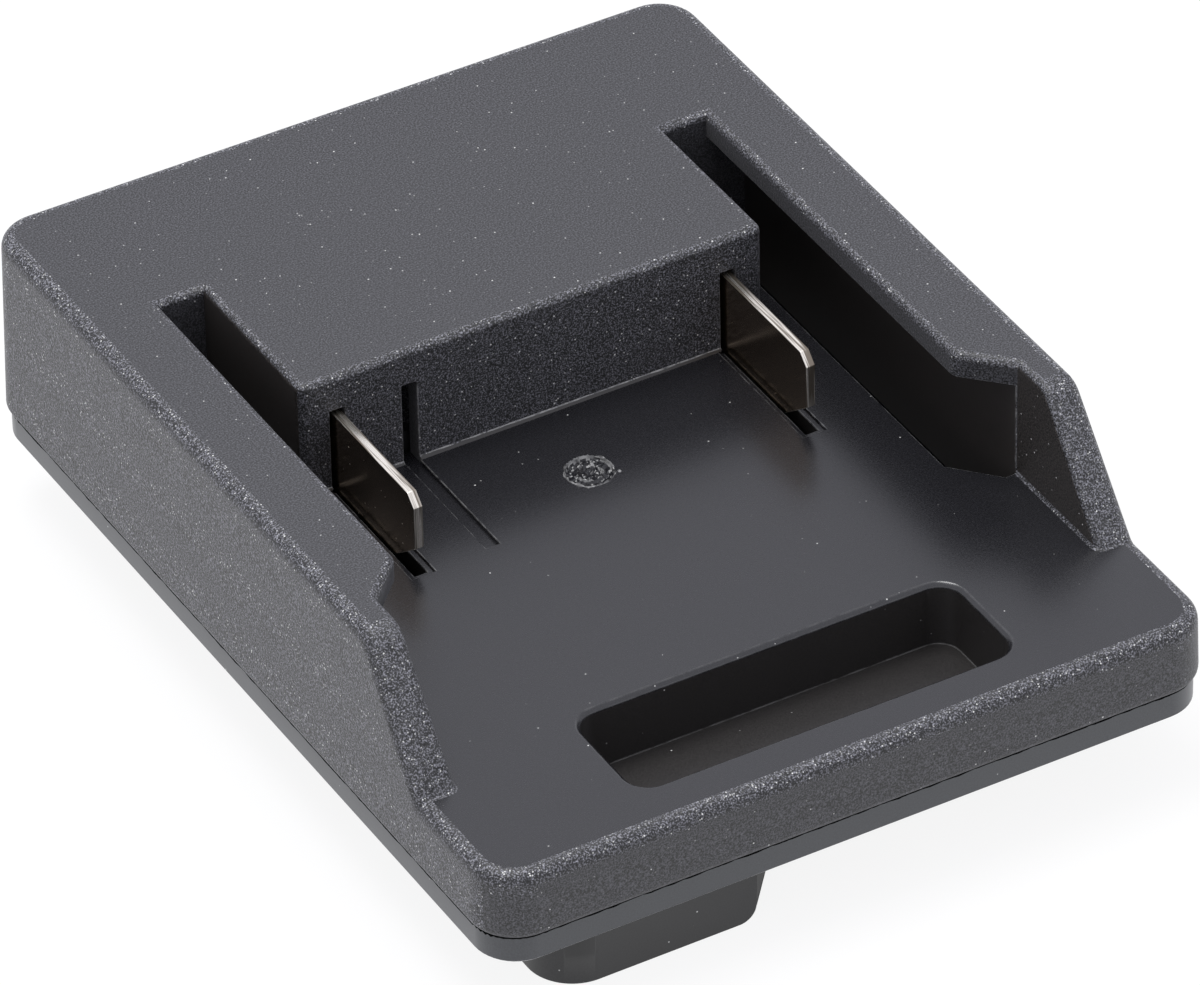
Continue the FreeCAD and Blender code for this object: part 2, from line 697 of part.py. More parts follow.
# Docking plug: hollow moulding with two contact chambers, held by its flange
def build_docking_plug():
    body = new_body("docking_plug")
    shaft = new_sketch(body, "shaft", "XY_Plane", "-plug_depth")
    rectangle(shaft, *plug_edges("0"))
    pad(body, shaft, "plug_depth + cover_floor")
    left = value(plug_edges("0")[0])
    right = value(plug_edges("0")[1])
    finish_edges(body, "shaft_corners", "Fillet", "plug_corner",
                 lambda edge: upright(edge) and close(edge.CenterOfMass.x, left))
    tip = value("-plug_depth")
    finish_edges(body, "shaft_toe", "Fillet", "plug_toe_round",
                 lambda edge: close(edge.CenterOfMass.x, right) and close(edge.BoundBox.ZMax, tip))
    flange = new_sketch(body, "flange", "XY_Plane", "cover_floor - plug_flange_thickness")
    rectangle(flange, *flange_edges("0"))
    pad(body, flange, "plug_flange_thickness")
    chambers = new_sketch(body, "chambers", "XY_Plane", "cover_floor")
    slots = new_sketch(body, "blade_slots", "XY_Plane", "-plug_depth")
    for centre in (contact_place("-1"), contact_place("1")):
        rectangle(chambers, f"{centre} - chamber_width / 2", f"{centre} + chamber_width / 2",
                  from_front("plug_front + plug_slot_setback - plug_wall"),
                  from_front("plug_front + plug_length - plug_wall"))
        rectangle(slots, f"{centre} - plug_slot_width / 2", f"{centre} + plug_slot_width / 2",
                  from_front("plug_front + plug_slot_setback"),
                  from_front("plug_front + plug_slot_setback + plug_slot_length"))
    pocket(body, chambers, "cover_floor + plug_depth - plug_wall")
    pocket(body, slots, "plug_wall + overcut", back=True)
    seat = new_sketch(body, "lid_seat", "XY_Plane", "cover_floor")
    rectangle(seat, *lid_edges("0"))
    pocket(body, seat, "lid_thickness")
    add_gusset(body)
    return body


def lid_edges(shrink):
    """Left, right, front and back of the lid's seat, drawn in by shrink."""
    half = "(contact_pitch + chamber_width) / 2 + lid_ledge"
    return (f"{PLUG_MIDDLE} - ({half}) + {shrink}", f"{PLUG_MIDDLE} + {half} - {shrink}",
            from_front(f"plug_front + plug_slot_setback - plug_wall - lid_ledge + {shrink}"),
            from_front(f"plug_front + plug_length - plug_wall + lid_ledge - {shrink}"))


def add_gusset(body):
    """Tapered gusset on the plug's right side, wide under the flange and gone near the tip."""
    inside = f"{PLUG_RIGHT} - plug_wall / 2"
    sections = []
    for name, depth, width, setback in (("gusset_root", "0", "plug_gusset", "plug_gusset_set"),
                                        ("gusset_tip", "-plug_gusset_depth", "plug_gusset_tip", "0")):
        section = new_sketch(body, name, "XY_Plane", depth)
        outline(section, [
            (inside, from_front("plug_front + plug_gusset_tip")),
            (PLUG_RIGHT, from_front("plug_front + plug_gusset_tip")),
            (f"{PLUG_RIGHT} + {width}", from_front(f"plug_front + 2 * plug_gusset_tip + {setback}")),
            (f"{PLUG_RIGHT} + {width}", from_front("plug_front + plug_gusset_length")),
            (inside, from_front("plug_front + plug_gusset_length")),
        ])
        sections.append(section)
    pad(body, sections[0], "cover_floor - plug_flange_thickness / 2")
    loft = body.newObject("PartDesign::AdditiveLoft", "gusset")
    loft.Profile = (sections[0], [""])
    loft.Sections = [(sections[1], [""])]
    loft.Ruled = True
    doc.recompute()


# Lid over the contact chambers, pierced for the two leads
def build_plug_lid():
    body = new_body("plug_lid")
    plate = new_sketch(body, "lid", "XY_Plane", "cover_floor - lid_thickness")
    rectangle(plate, *lid_edges("fit_clearance"))
    pad(body, plate, "lid_thickness")
    holes = new_sketch(body, "lead_holes", "XY_Plane", "cover_floor")
    for side in ("-1", "1"):
        circle(holes, contact_place(side), from_front(CONTACT_BARREL), "lead_hole_width")
    pocket(body, holes, "lid_thickness")
    return body


# Spring contact in the plug: two leaves that pinch the lamp's blade, and a crimp barrel
def build_plug_contact(label, side):
    body = new_body(label)
    floor = "-plug_depth + plug_wall"
    throat = "contact_gap / 2"
    belly = "contact_belly / 2"
    metal = "contact_metal"
    top = f"{floor} + contact_height"
    pinch = f"{floor} + contact_gap_height"
    shoulder = f"{floor} + contact_belly_height"
    front = "plug_front + plug_slot_setback + (plug_slot_length - contact_length) / 2"
    leaves = new_sketch(body, "leaves", "XZ_Plane", from_front(front))
    outline(leaves, [
        (f"-({belly})", floor),
        (f"-({belly}) + {metal}", floor),
        (f"-({throat})", pinch),
        (f"-({belly}) + {metal}", shoulder),
        (f"-({belly}) + {metal}", f"{top} - {metal}"),
        (f"{belly} - {metal}", f"{top} - {metal}"),
        (f"{belly} - {metal}", shoulder),
        (throat, pinch),
        (f"{belly} - {metal}", floor),
        (belly, floor),
        (f"{throat} + {metal}", pinch),
        (belly, shoulder),
        (belly, top),
        (f"-({belly})", top),
        (f"-({belly})", shoulder),
        (f"-({throat}) - {metal}", pinch),
    ])
    pad(body, leaves, "contact_length", back=True)
    neck = new_sketch(body, "neck", "XY_Plane", f"{top} - {metal}")
    rectangle(neck, "-neck_width / 2", "neck_width / 2",
              from_front("plug_front + plug_slot_setback + contact_length"), from_front(CONTACT_BARREL))
    pad(body, neck, metal)
    barrel = new_sketch(body, "barrel", "XY_Plane", f"{top} - barrel_length")
    circle(barrel, "0", from_front(CONTACT_BARREL), "lead_width + 2 * barrel_wall")
    pad(body, barrel, "barrel_length")
    bore = new_sketch(body, "barrel_bore", "XY_Plane", top)
    circle(bore, "0", from_front(CONTACT_BARREL), "lead_width")
    pocket(body, bore, "barrel_length")
    body.setExpression("Placement.Base.x", sized(contact_place(side)))
    return body


# Terminal carrier: bar with a tower at each end that grips a blade
def build_terminal_carrier():
    body = new_body("terminal_carrier")
    bar = new_sketch(body, "bar", "XZ_Plane", from_front("carrier_front"))
    end = "block_width / 2 - wall - fit_clearance"
    bar_top = "carrier_base + carrier_bar_height"
    outline(bar, [
        (f"-({end})", "carrier_base"),
        (end, "carrier_base"),
        (end, "carrier_tower_top"),
        (f"{end} - carrier_tower_width", "carrier_tower_top"),
        (f"{end} - carrier_tower_width", bar_top),
        (f"-({end} - carrier_tower_width)", bar_top),
        (f"-({end} - carrier_tower_width)", "carrier_tower_top"),
        (f"-({end})", "carrier_tower_top"),
    ])
    pad(body, bar, "carrier_length", back=True)
    wide = new_sketch(body, "blade_slits", "XZ_Plane", from_front("carrier_front"))
    narrow = new_sketch(body, "tab_slits", "XZ_Plane", from_front("carrier_front"))
    for centre in ("-blade_spacing / 2", "blade_spacing / 2"):
        left = f"{centre} - blade_thickness / 2 - screw_clearance / 2"
        right = f"{centre} + blade_thickness / 2 + screw_clearance / 2"
        rectangle(wide, left, right, "blade_bottom - screw_clearance", "blade_top + screw_clearance")
        rectangle(narrow, left, right, f"{TAB_MIDDLE} - tab_width / 2 - screw_clearance",
                  f"{TAB_MIDDLE} + tab_width / 2 + screw_clearance")
    pocket(body, wide, f"{SHOULDER} - carrier_front")
    pocket(body, narrow, "carrier_length + overcut")
    holes = new_sketch(body, "carrier_holes", "XY_Plane", "carrier_base")
    middle = from_front("carrier_front + carrier_length / 2")
    for across in ("-carrier_screw_spacing / 2", "carrier_screw_spacing / 2"):
        circle(holes, across, middle, "screw_width + 2 * screw_clearance")
    pocket(body, holes, "carrier_bar_height + overcut", back=True)
    return body


# Contact blade: flat strip with a clipped heel, a chamfered tip and a push-on tab
def build_blade(label, side):
    body = new_body(label)
    tip = from_front("block_face - blade_reach")
    shoulder = from_front(SHOULDER)
    tail = from_front(TAB_END)
    tab_low = f"{TAB_MIDDLE} - tab_width / 2"
    tab_high = f"{TAB_MIDDLE} + tab_width / 2"
    strip = new_sketch(body, "strip", "YZ_Plane")
    outline(strip, [
        (tip, "blade_bottom + blade_heel_height"),
        (f"{tip} + blade_heel_length", "blade_bottom"),
        (shoulder, "blade_bottom"),
        (shoulder, tab_low),
        (tail, tab_low),
        (tail, tab_high),
        (shoulder, tab_high),
        (shoulder, "blade_top"),
        (f"{tip} + blade_tip_chamfer", "blade_top"),
        (tip, "blade_top - blade_tip_chamfer"),
    ])
    pad(body, strip, "blade_thickness", both=True)
    tail_y = value(tail)
    finish_edges(body, "tab_corners", "Chamfer", "blade_thickness",
                 lambda edge: close(edge.CenterOfMass.y, tail_y) and close(edge.BoundBox.ZLength, 0))
    body.setExpression("Placement.Base.x", sized(f"{side} * blade_spacing / 2"))
    return body


# Push-on receptacle on the blade's tab, with the crimp barrel for the lead
def build_receptacle(label, side):
    body = new_body(label)
    front = f"{RECEPTACLE_BACK} - receptacle_length"
    grip = new_sketch(body, "grip", "XZ_Plane", from_front(front))
    rectangle(grip, "-receptacle_thickness / 2", "receptacle_thickness / 2",
              f"{TAB_MIDDLE} - receptacle_width / 2", f"{TAB_MIDDLE} + receptacle_width / 2")
    pad(body, grip, "receptacle_length", back=True)
    slot = new_sketch(body, "grip_slot", "XZ_Plane", from_front(front))
    half = "(blade_thickness + screw_clearance) / 2"
    rectangle(slot, f"-{half}", half, f"{TAB_MIDDLE} - tab_width / 2 - screw_clearance",
              f"{TAB_MIDDLE} + tab_width / 2 + screw_clearance")
    pocket(body, slot, "receptacle_length - receptacle_end")
    seam = new_sketch(body, "seam", "XZ_Plane", from_front(front))
    rectangle(seam, "0", "receptacle_thickness",
              f"{TAB_MIDDLE} - receptacle_seam / 2", f"{TAB_MIDDLE} + receptacle_seam / 2")
    pocket(body, seam, "receptacle_length - receptacle_end")
    barrel = new_sketch(body, "barrel", "XZ_Plane", from_front(RECEPTACLE_BACK))
    circle(barrel, "0", TAB_MIDDLE, "lead_width + 2 * barrel_wall")
    pad(body, barrel, "barrel_length", back=True)
    bore = new_sketch(body, "barrel_bore", "XZ_Plane", from_front(f"{RECEPTACLE_BACK} + barrel_length"))
    circle(bore, "0", TAB_MIDDLE, "lead_width")
    pocket(body, bore, "barrel_length", back=True)
    finish_edges(body, "grip_bevel", "Chamfer", "receptacle_bevel", grip_edge)
    body.setExpression("Placement.Base.x", sized(f"{side} * blade_spacing / 2"))
    return body


def grip_edge(edge):
    """The four long outer edges of the receptacle's grip."""
    middle = edge.CenterOfMass
    half = value("receptacle_thickness / 2")
    height = value("receptacle_width / 2")
    lengthwise = close(edge.BoundBox.YLength, edge.Length)
    return lengthwise and close(abs(middle.x), half) and close(abs(middle.z - value(TAB_MIDDLE)), height)


# Share of its shorter run that an arc of a lead takes at each side of its corner
ARC_SHARE = 0.45


# Leads: insulated wires from the blades, round the back and forward to the plug
def build_lead(label, route):
    """A faceted tube along straight runs joined by tangent arcs, each as large as its runs allow."""
    points = [FreeCAD.Vector(value(x), value(from_front(y)), value(z)) for x, y, z in route]
    edges = []
    radii = []
    start = points[0]
    for before, corner, after in zip(points, points[1:], points[2:]):
        reach = ARC_SHARE * min((corner - before).Length, (after - corner).Length)
        incoming = (corner - before).normalize()
        outgoing = (after - corner).normalize()
        turn = incoming.getAngle(outgoing)
        radius = reach / math.tan(turn / 2)
        radii.append(round(radius, 1))
        first = corner - incoming * reach
        last = corner + outgoing * reach
        inward = (outgoing - incoming).normalize()
        middle = corner + inward * (radius / math.cos(turn / 2) - radius)
        edges.append(Part.LineSegment(start, first).toShape())
        edges.append(Part.Arc(first, middle, last).toShape())
        start = last
    edges.append(Part.LineSegment(start, points[-1]).toShape())
    path = Part.Wire(edges)
    facets = int(value("lead_facets"))
    spoke = FreeCAD.Vector(value("lead_width") / 2, 0, 0)
    first_run = points[1] - points[0]
    turns = [FreeCAD.Rotation(first_run, 360 * step / facets) for step in range(facets + 1)]
    ring = [points[0] + turn * spoke for turn in turns]
    lead = doc.addObject("Part::Feature", label)
    lead.Label = label
    lead.Shape = path.makePipeShell([Part.makePolygon(ring)], True, False)
    section = facets / 2 * math.sin(2 * math.pi / facets) * spoke.Length ** 2
    print(label, "length", round(path.Length, 1), "radii", radii)
    print(label, "volume over section times length", round(lead.Shape.Volume / section / path.Length, 4))
    return lead


def lead_route(side, elbow):
    """Points of a lead's route; the turns behind the plug differ from side to side."""
    start = f"{RECEPTACLE_BACK} + fit_clearance"
    contact = contact_place(side)
    return [
        (f"{side} * blade_spacing / 2", start, TAB_MIDDLE),
        (f"{side} * blade_spacing / 2", "body_length - lead_back_gap", TAB_MIDDLE),
        (f"{side} * lead_lane", "body_length - lead_back_gap", "lead_height"),
        (f"{side} * lead_lane", "lead_lane_end", "lead_height"),
        *elbow,
        (contact, CONTACT_BARREL, "lead_height"),
        (contact, CONTACT_BARREL, "-plug_depth + plug_wall + contact_height - barrel_length + fit_clearance"),
    ]


# Screws: flat cheese head with a cross drive and a blunt end, all shafts at the thread's outer width
def build_screw(label, length):
    body = new_body(label)
    profile = new_sketch(body, "profile", "XZ_Plane")
    outline(profile, [
        ("0", "0"),
        ("screw_head_width / 2", "0"),
        ("screw_head_width / 2", "screw_head_height"),
        ("screw_width / 2", "screw_head_height"),
        ("screw_width / 2", f"screw_head_height + {length}"),
        ("0", f"screw_head_height + {length}"),
    ])
    turned = body.newObject("PartDesign::Revolution", "turned")
    turned.Profile = (profile, [""])
    turned.ReferenceAxis = origin_item(body, "Z_Axis")
    turned.Angle = 360
    doc.recompute()
    cross = new_sketch(body, "cross", "XY_Plane")
    arm = "drive_width / 2"
    thin = "drive_slot / 2"
    outline(cross, [
        (f"-({arm})", f"-({thin})"), (f"-({thin})", f"-({thin})"), (f"-({thin})", f"-({arm})"),
        (thin, f"-({arm})"), (thin, f"-({thin})"), (arm, f"-({thin})"),
        (arm, thin), (thin, thin), (thin, arm),
        (f"-({thin})", arm), (f"-({thin})", thin), (f"-({arm})", thin),
    ])
    pocket(body, cross, "drive_depth", back=True)
    return body


def screw_group(label, master, places):
    """A group of like screws, one separate solid at each place."""
    copies = []
    for number, (x, y, z) in enumerate(places, start=1):
        copy = doc.addObject("Part::Feature", f"{label}_{number}")
        copy.Shape = master.Shape
        copy.Placement = FreeCAD.Placement(
            FreeCAD.Vector(value(x), value(from_front(y)), value(z)), FreeCAD.Rotation())
        copies.append(copy)
    group = doc.addObject("Part::Compound", label)
    group.Label = label
    group.Links = copies
    return group


# Turns of each lead between its lane and its contact; the left one swings round a screw boss
BOSS_SIDE = "-screw_spacing / 2 + boss_width / 2 + lead_boss_gap"
LEAD_ELBOWS = {
    "1": [(contact_place("1"), "lead_turn_place", "lead_height")],
    "-1": [(BOSS_SIDE, "lead_swing_back", "lead_height"),
           (BOSS_SIDE, "lead_swing_front", "lead_height")],
}

SIDES = (("negative", "-1"), ("positive", "1"))

parts = [build_top_housing(), build_bottom_cover(), build_docking_plug(), build_plug_lid(),
         build_terminal_carrier()]
for pole, side in SIDES:
    parts.append(build_plug_contact(f"plug_contact_{pole}", side))
    parts.append(build_blade(f"blade_{pole}", side))
    parts.append(build_receptacle(f"receptacle_{pole}", side))
    parts.append(build_lead(f"lead_{pole}", lead_route(side, LEAD_ELBOWS[side])))

cover_screw = build_screw("cover_screw_master", "cover_screw_length")
parts.append(screw_group("cover_screws", cover_screw, [
    (f"{side} * screw_spacing / 2", place, "screw_clearance")
    for side in ("-1", "1") for place in ("screw_front_place", "screw_back_place")]))
carrier_screw = build_screw("carrier_screw_master", "carrier_screw_length")
parts.append(screw_group("carrier_screws", carrier_screw, [
    (f"{side} * carrier_screw_spacing / 2", "carrier_front + carrier_length / 2",
     "carrier_base - screw_head_height")
    for side in ("-1", "1")]))

doc.recompute()
for item in doc.Objects:
    if "Invalid" in item.State or "Error" in item.State:
        raise ValueError(f"{item.Name} is {item.State}")
os.makedirs("parts", exist_ok=True)
for part in parts:
    if part.Shape.isNull() or not part.Shape.isValid():
        raise ValueError(f"{part.Label} has no valid shape")
    part.Shape.exportStep(f"parts/{part.Label}.step")
    print(part.Label, "solids", len(part.Shape.Solids), "volume", round(part.Shape.Volume, 1))
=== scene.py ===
import json
import math

import bmesh
import bpy
from bpy.props import FloatProperty, FloatVectorProperty, PointerProperty
from mathutils import Matrix, Vector, noise


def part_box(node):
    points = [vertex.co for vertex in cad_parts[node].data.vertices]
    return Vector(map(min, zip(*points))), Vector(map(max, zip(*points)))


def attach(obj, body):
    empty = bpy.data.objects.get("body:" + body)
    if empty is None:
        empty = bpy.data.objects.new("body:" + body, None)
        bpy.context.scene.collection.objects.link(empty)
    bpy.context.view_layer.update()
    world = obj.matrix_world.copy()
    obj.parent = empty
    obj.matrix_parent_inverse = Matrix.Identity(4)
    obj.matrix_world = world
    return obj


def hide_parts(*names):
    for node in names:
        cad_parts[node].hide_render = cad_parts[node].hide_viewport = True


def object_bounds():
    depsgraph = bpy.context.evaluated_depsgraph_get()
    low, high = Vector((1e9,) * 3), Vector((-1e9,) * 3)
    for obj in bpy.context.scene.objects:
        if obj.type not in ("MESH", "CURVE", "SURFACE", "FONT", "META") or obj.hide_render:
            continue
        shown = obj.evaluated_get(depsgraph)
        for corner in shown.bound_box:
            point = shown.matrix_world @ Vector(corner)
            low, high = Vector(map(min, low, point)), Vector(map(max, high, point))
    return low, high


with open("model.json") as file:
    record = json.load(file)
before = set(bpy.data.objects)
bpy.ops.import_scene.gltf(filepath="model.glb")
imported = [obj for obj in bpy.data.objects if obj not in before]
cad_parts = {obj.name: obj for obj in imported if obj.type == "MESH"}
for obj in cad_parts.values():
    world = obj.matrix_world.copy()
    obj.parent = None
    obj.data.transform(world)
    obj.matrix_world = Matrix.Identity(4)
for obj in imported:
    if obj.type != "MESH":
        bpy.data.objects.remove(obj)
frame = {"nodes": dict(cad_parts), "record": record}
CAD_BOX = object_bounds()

bl_info = {
    "name": "Battery adapter",
    "version": (1, 0, 0),
    "blender": (4, 5, 0),
    "location": "View3D > Sidebar > Adapter",
    "description": "Dresses the battery adapter: moulded housing, cover, docking plug and contacts",
    "category": "Object",
}

MM = 0.001
SHARP = math.radians(28)  # an edge that turns by more is sharp, and no part of a rounding
SQUARE = 0.9              # share of a normal along an axis from which a face is square to it
LEANING = 0.5             # share from which a face leans towards the axis
SLOPING = 0.3             # share from which a face slopes towards the axis at all
NEAR = 0.5 * MM           # a face whose middle is this near to a plane belongs to it

# Places from the mounts in the record
PLACES = {mount["name"]: Vector(mount["pos_m"]) for mount in frame["record"]["mounts"]}
DECK = PLACES["battery_deck"].z
BLOCK_FACE = PLACES["battery_stop"].y

# Places that no mount gives: the middle of the gate's dish, the line that the channels' mouths
# lie in front of, and a box round the latch pocket
GATE = Vector((0, 0.1 * MM, DECK))
CHANNEL_MOUTH = -25 * MM
POCKET_SIDE, POCKET_FRONT, POCKET_BACK = 23 * MM, -47 * MM, -30 * MM

# How much more than on a flat the texture shows, from 0 to 1: the face layer "edge"
# it widens the grain's tone swing, which paints how the light plays on the texture, crowds the
# painted highlights on crater rims and deepens the bump; on the blades it picks the sheared edge
GRAIN = {"side": 0.6, "block": 0.5, "rounding": 0.4, "outer rim": 0.88, "inner rim": 0.7,
         "ramp": 0.8, "foot line": 1.0, "broken edge": 0.45, "mouth wall": 0.7,
         "plug edge": 0.5, "sheared edge": 1.0}
# How strong the painted highlight on a line or face is, from 0 to 1: the face layer rim
PAINTED_HIGHLIGHT = {"ramp": 0.06, "foot line": 1.0, "pocket floor": 0.2, "broken edge": 0.4,
         "pocket rim": 0.08, "window": 0.7, "cover bevel": 0.6, "gate": 1.0}
# Tone swing of a smooth skin, and shares of painted highlights on crater rims, both on flats and on
# edges
SMOOTH = (0.2, 0.4)
FEW_GLINTS = (0.001, 0.03)
FEWER_GLINTS = (0.001, 0.02)
# The housing's other skins in its list of materials, after the shell's own at 0: the polished deck,
# and warm copies of the ABS that paint the light and shade in the channels and hollows
POLISHED, CHANNEL_SHADE, HOLLOW_SHADE = 1, 2, 3


def linear(code):
    """Linear colour with alpha of an sRGB hex code."""
    shares = [int(code[start:start + 2], 16) / 255 for start in (1, 3, 5)]
    return [s / 12.92 if s <= 0.04045 else ((s + 0.055) / 1.055) ** 2.4 for s in shares] + [1.0]


def length(name, description, default):
    """A length property in metres, given in millimetres."""
    return FloatProperty(name=name, description=description, default=default * MM, min=0.0,
                         precision=5, unit="LENGTH", subtype="DISTANCE")


def colour(name, description, code):
    """A linear colour property, given as an sRGB hex code."""
    return FloatVectorProperty(name=name, description=description, subtype="COLOR", size=4,
                               min=0.0, max=1.0, default=linear(code))


def share(name, description, default):
    """A property from 0 to 1."""
    return FloatProperty(name=name, description=description, default=default, min=0.0, max=1.0,
                         subtype="FACTOR")


class AdapterSizes(bpy.types.PropertyGroup):
    edge_break: length("Edge break", "Width of the soft break on the moulded sharp edges", 0.12)
    metal_break: length("Blade edge break", "Width of the break on the sheared blade edges", 0.08)
    wall: length("Wall", "How far in from the outer sides the polished tool faces begin", 2.5)
    rail_wall: length("Rail walls", "Distance of the channels' outer walls from the middle", 35.45)
    block_side: length("Block sides", "Distance of the block's sides from the middle", 26.1)
    # real craters are much finer and wouldn't show in a picture, so they are drawn coarser
    crater: length("Spark crater", "Width of a crater of the spark-eroded texture", 0.3)
    crater_depth: length("Crater depth", "Depth of the spark-eroded texture", 0.05)
    polish_depth: length("Polish marks", "Depth of the marks left by polishing the tool", 0.004)
    glint: length("Glint", "Width of a crater rim that catches the light", 0.21)
    speck: length("Speck", "Spacing of the dust specks on the blades", 0.7)
    shear: length("Shear marks", "Spacing of the striations on the sheared blade edges", 0.22)
    scar: length("Gate burr", "Radius of the burr round the gate's dish", 2.5)
    stub: length("Gate stub", "Radius of the torn ring in the gate's dish", 1.3)
    parting: length("Parting line", "Height of the parting line above the underside", 3.1)
    # the seam is painted shade of the gap between housing and cover
    seam: length("Seam", "Mean width of the dark seam between housing and cover", 0.16)
    seam_drop: length("Seam drop", "How much lower the seam reaches on the long sides", 0.24)


class AdapterFinish(bpy.types.PropertyGroup):
    shell: colour("Shell", "Charcoal ABS of the upper housing", "#2F2F32")
    satin: colour("Satin", "The same ABS where the tool was polished", "#19191C")
    # painted light and shade: a warmer copy of the ABS for the warm bounce light in the shaded rail
    # channels
    channel: colour("Channel", "The same ABS in the rail channels, which look warmer", "#2E2B29")
    # painted light and shade: a warm copy of the ABS for the bounce light in the shaded pocket and
    # hollows, and the shade under the block's foot line
    pocket: colour("Pocket", "The same ABS in the pocket and below the deck", "#272524")
    # painted highlight: the lighter colour that the rim lines mix in
    torn: colour("Torn", "The same ABS where it was torn or rubbed lighter", "#8C8C8B")
    cover: colour("Cover", "Charcoal ABS of the bottom cover", "#343639")
    # painted shade: near black for the seam's narrow gap
    seam: colour("Seam", "Dust in the seam between the housing and the cover", "#0C0C0C")
    plug: colour("Plug", "Black polyamide of the docking plug", "#242425")
    # painted highlight: bright specks in the base colour where a crater rim would catch the lamp
    glint: colour("Glint", "Pin points where a crater rim catches the light", "#DCDCD8")
    nickel: colour("Nickel", "Nickel plating of the contact blades", "#A8957F")
    burnished: colour("Burnished edge", "Bright bands of the blades' sheared edges", "#F6F0E4")
    fracture: colour("Fractured edge", "Dull bands of the blades' sheared edges", "#857C70")
    brass: colour("Brass", "Bare brass of the inner contacts", "#C9A55B")
    zinc: colour("Zinc", "Zinc plating of the screws", "#B4B6B8")
    nylon: colour("Nylon", "Black nylon of the terminal carrier", "#1F1F20")
    black_lead: colour("Black lead", "Insulation of the negative lead", "#1B1B1C")
    red_lead: colour("Red lead", "Insulation of the positive lead", "#A3171A")
    shell_roughness: share("Shell roughness", "Roughness of the spark-eroded ABS", 0.5)
    satin_roughness: share("Satin roughness", "Roughness of the polished ABS", 0.26)
    channel_roughness: share("Channel roughness", "Roughness in the rail channels", 0.4)
    pocket_roughness: share("Pocket roughness", "Roughness in the pocket and below it", 0.36)
    torn_roughness: share("Torn roughness", "Roughness of the torn skin at the gate", 0.22)
    cover_roughness: share("Cover roughness", "Roughness of the bottom cover", 0.36)
    plug_roughness: share("Plug roughness", "Roughness of the docking plug", 0.42)
    nylon_roughness: share("Nylon roughness", "Roughness of the terminal carrier", 0.5)
    # shares of the painted highlights on crater rims
    flat_glints: share("Glints on flats", "Share of crater rims that shine on a flat", 0.008)
    edge_glints: share("Glints on edges", "Share that shine on roundings and ramps", 0.28)
    haze: share("Haze", "Grazing shine of the spark-eroded skin", 0.09)


class AdapterStage(bpy.types.PropertyGroup):
    camera_place: FloatVectorProperty(
        name="Camera place", description="Where the camera stands", subtype="XYZ", unit="LENGTH",
        default=(-0.40666, -0.72991, 0.63982))
    camera_target: FloatVectorProperty(
        name="Camera target", description="Point that the camera looks at", subtype="XYZ",
        unit="LENGTH", default=(-0.00070, -0.00311, 0.0107))
    camera_roll: FloatProperty(
        name="Camera roll", description="Turn of the camera about its axis", subtype="ANGLE",
        default=math.radians(1.29))
    camera_lens: FloatProperty(
        name="Lens", description="Focal length on a 36 mm wide sensor", unit="CAMERA",
        default=320.97)
    camera_shift: FloatProperty(
        name="Shift", description="Vertical shift of the frame, in frame widths", default=-0.00178)
    tent_strength: FloatProperty(
        name="Tent", description="Strength of the white tent round the object", default=0.95)
    tent_colour: colour("Tent colour", "Cool white of the tent's cloth", "#F4F5FF")
    horizon: share("Horizon", "Strength of the tent where it ends above the paper", 0.35)
    tent_edge: share("Tent edge", "Steepness above which a reflection sees the full tent", 0.35)
    lamp_place: FloatVectorProperty(
        name="Lamp place", description="Where the overhead lamp hangs", subtype="XYZ",
        unit="LENGTH", default=(-0.1, 0.1, 0.8))
    lamp_power: FloatProperty(
        name="Lamp power", description="Power of the soft lamp overhead", unit="POWER",
        default=5.0)
    lamp_width: length("Lamp width", "Width of the overhead lamp", 500)
    lamp_depth: length("Lamp depth", "Depth of the overhead lamp", 350)
    paper_size: length("Paper size", "Half the width of the paper floor", 4000)
    paper_gap: length("Paper gap", "Gap that keeps the paper clear of the plug", 0.05)
    paper_glow: share("Paper glow", "How much of the paper is plain white where seen", 0.88)


def add(tree, kind, links=None, **settings):
    """Add a node with its settings, and fill its inputs from values or from other outputs."""
    node = tree.nodes.new("ShaderNode" + kind)
    for name, setting in settings.items():
        setattr(node, name, setting)
    for socket, source in (links or {}).items():
        if isinstance(source, bpy.types.NodeSocket):
            tree.links.new(source, node.inputs[socket])
        else:
            node.inputs[socket].default_value = source
    return node


def new_material(name):
    """A material with an empty node tree, and that tree."""
    material = bpy.data.materials.new(name)
    material.use_nodes = True
    material.node_tree.nodes.clear()
    return material, material.node_tree


def close_tree(tree, shader):
    add(tree, "OutputMaterial", {"Surface": shader.outputs[0]})


def scatter(tree, place, spacing, bar, radius):
    """Round spots in the cells whose lot is above bar, each with a strength of its own.

    radius is a share of the spacing.
    """
    cells = add(tree, "TexVoronoi", {"Vector": place, "Scale": 1 / spacing})
    lot = add(tree, "SeparateColor", {"Color": cells.outputs["Color"]})
    chosen = add(tree, "Math", {0: lot.outputs["Red"], 1: bar}, operation="GREATER_THAN")
    near = add(tree, "MapRange", {"Value": cells.outputs["Distance"], "From Min": radius,
                                  "From Max": radius / 2})
    strength = add(tree, "Math", {0: lot.outputs["Green"], 1: 1.4}, operation="POWER")
    spot = add(tree, "Math", {0: chosen.outputs[0], 1: near.outputs[0]}, operation="MULTIPLY")
    lit = add(tree, "Math", {0: spot.outputs[0], 1: strength.outputs[0]}, operation="MULTIPLY")
    return lit.outputs[0]
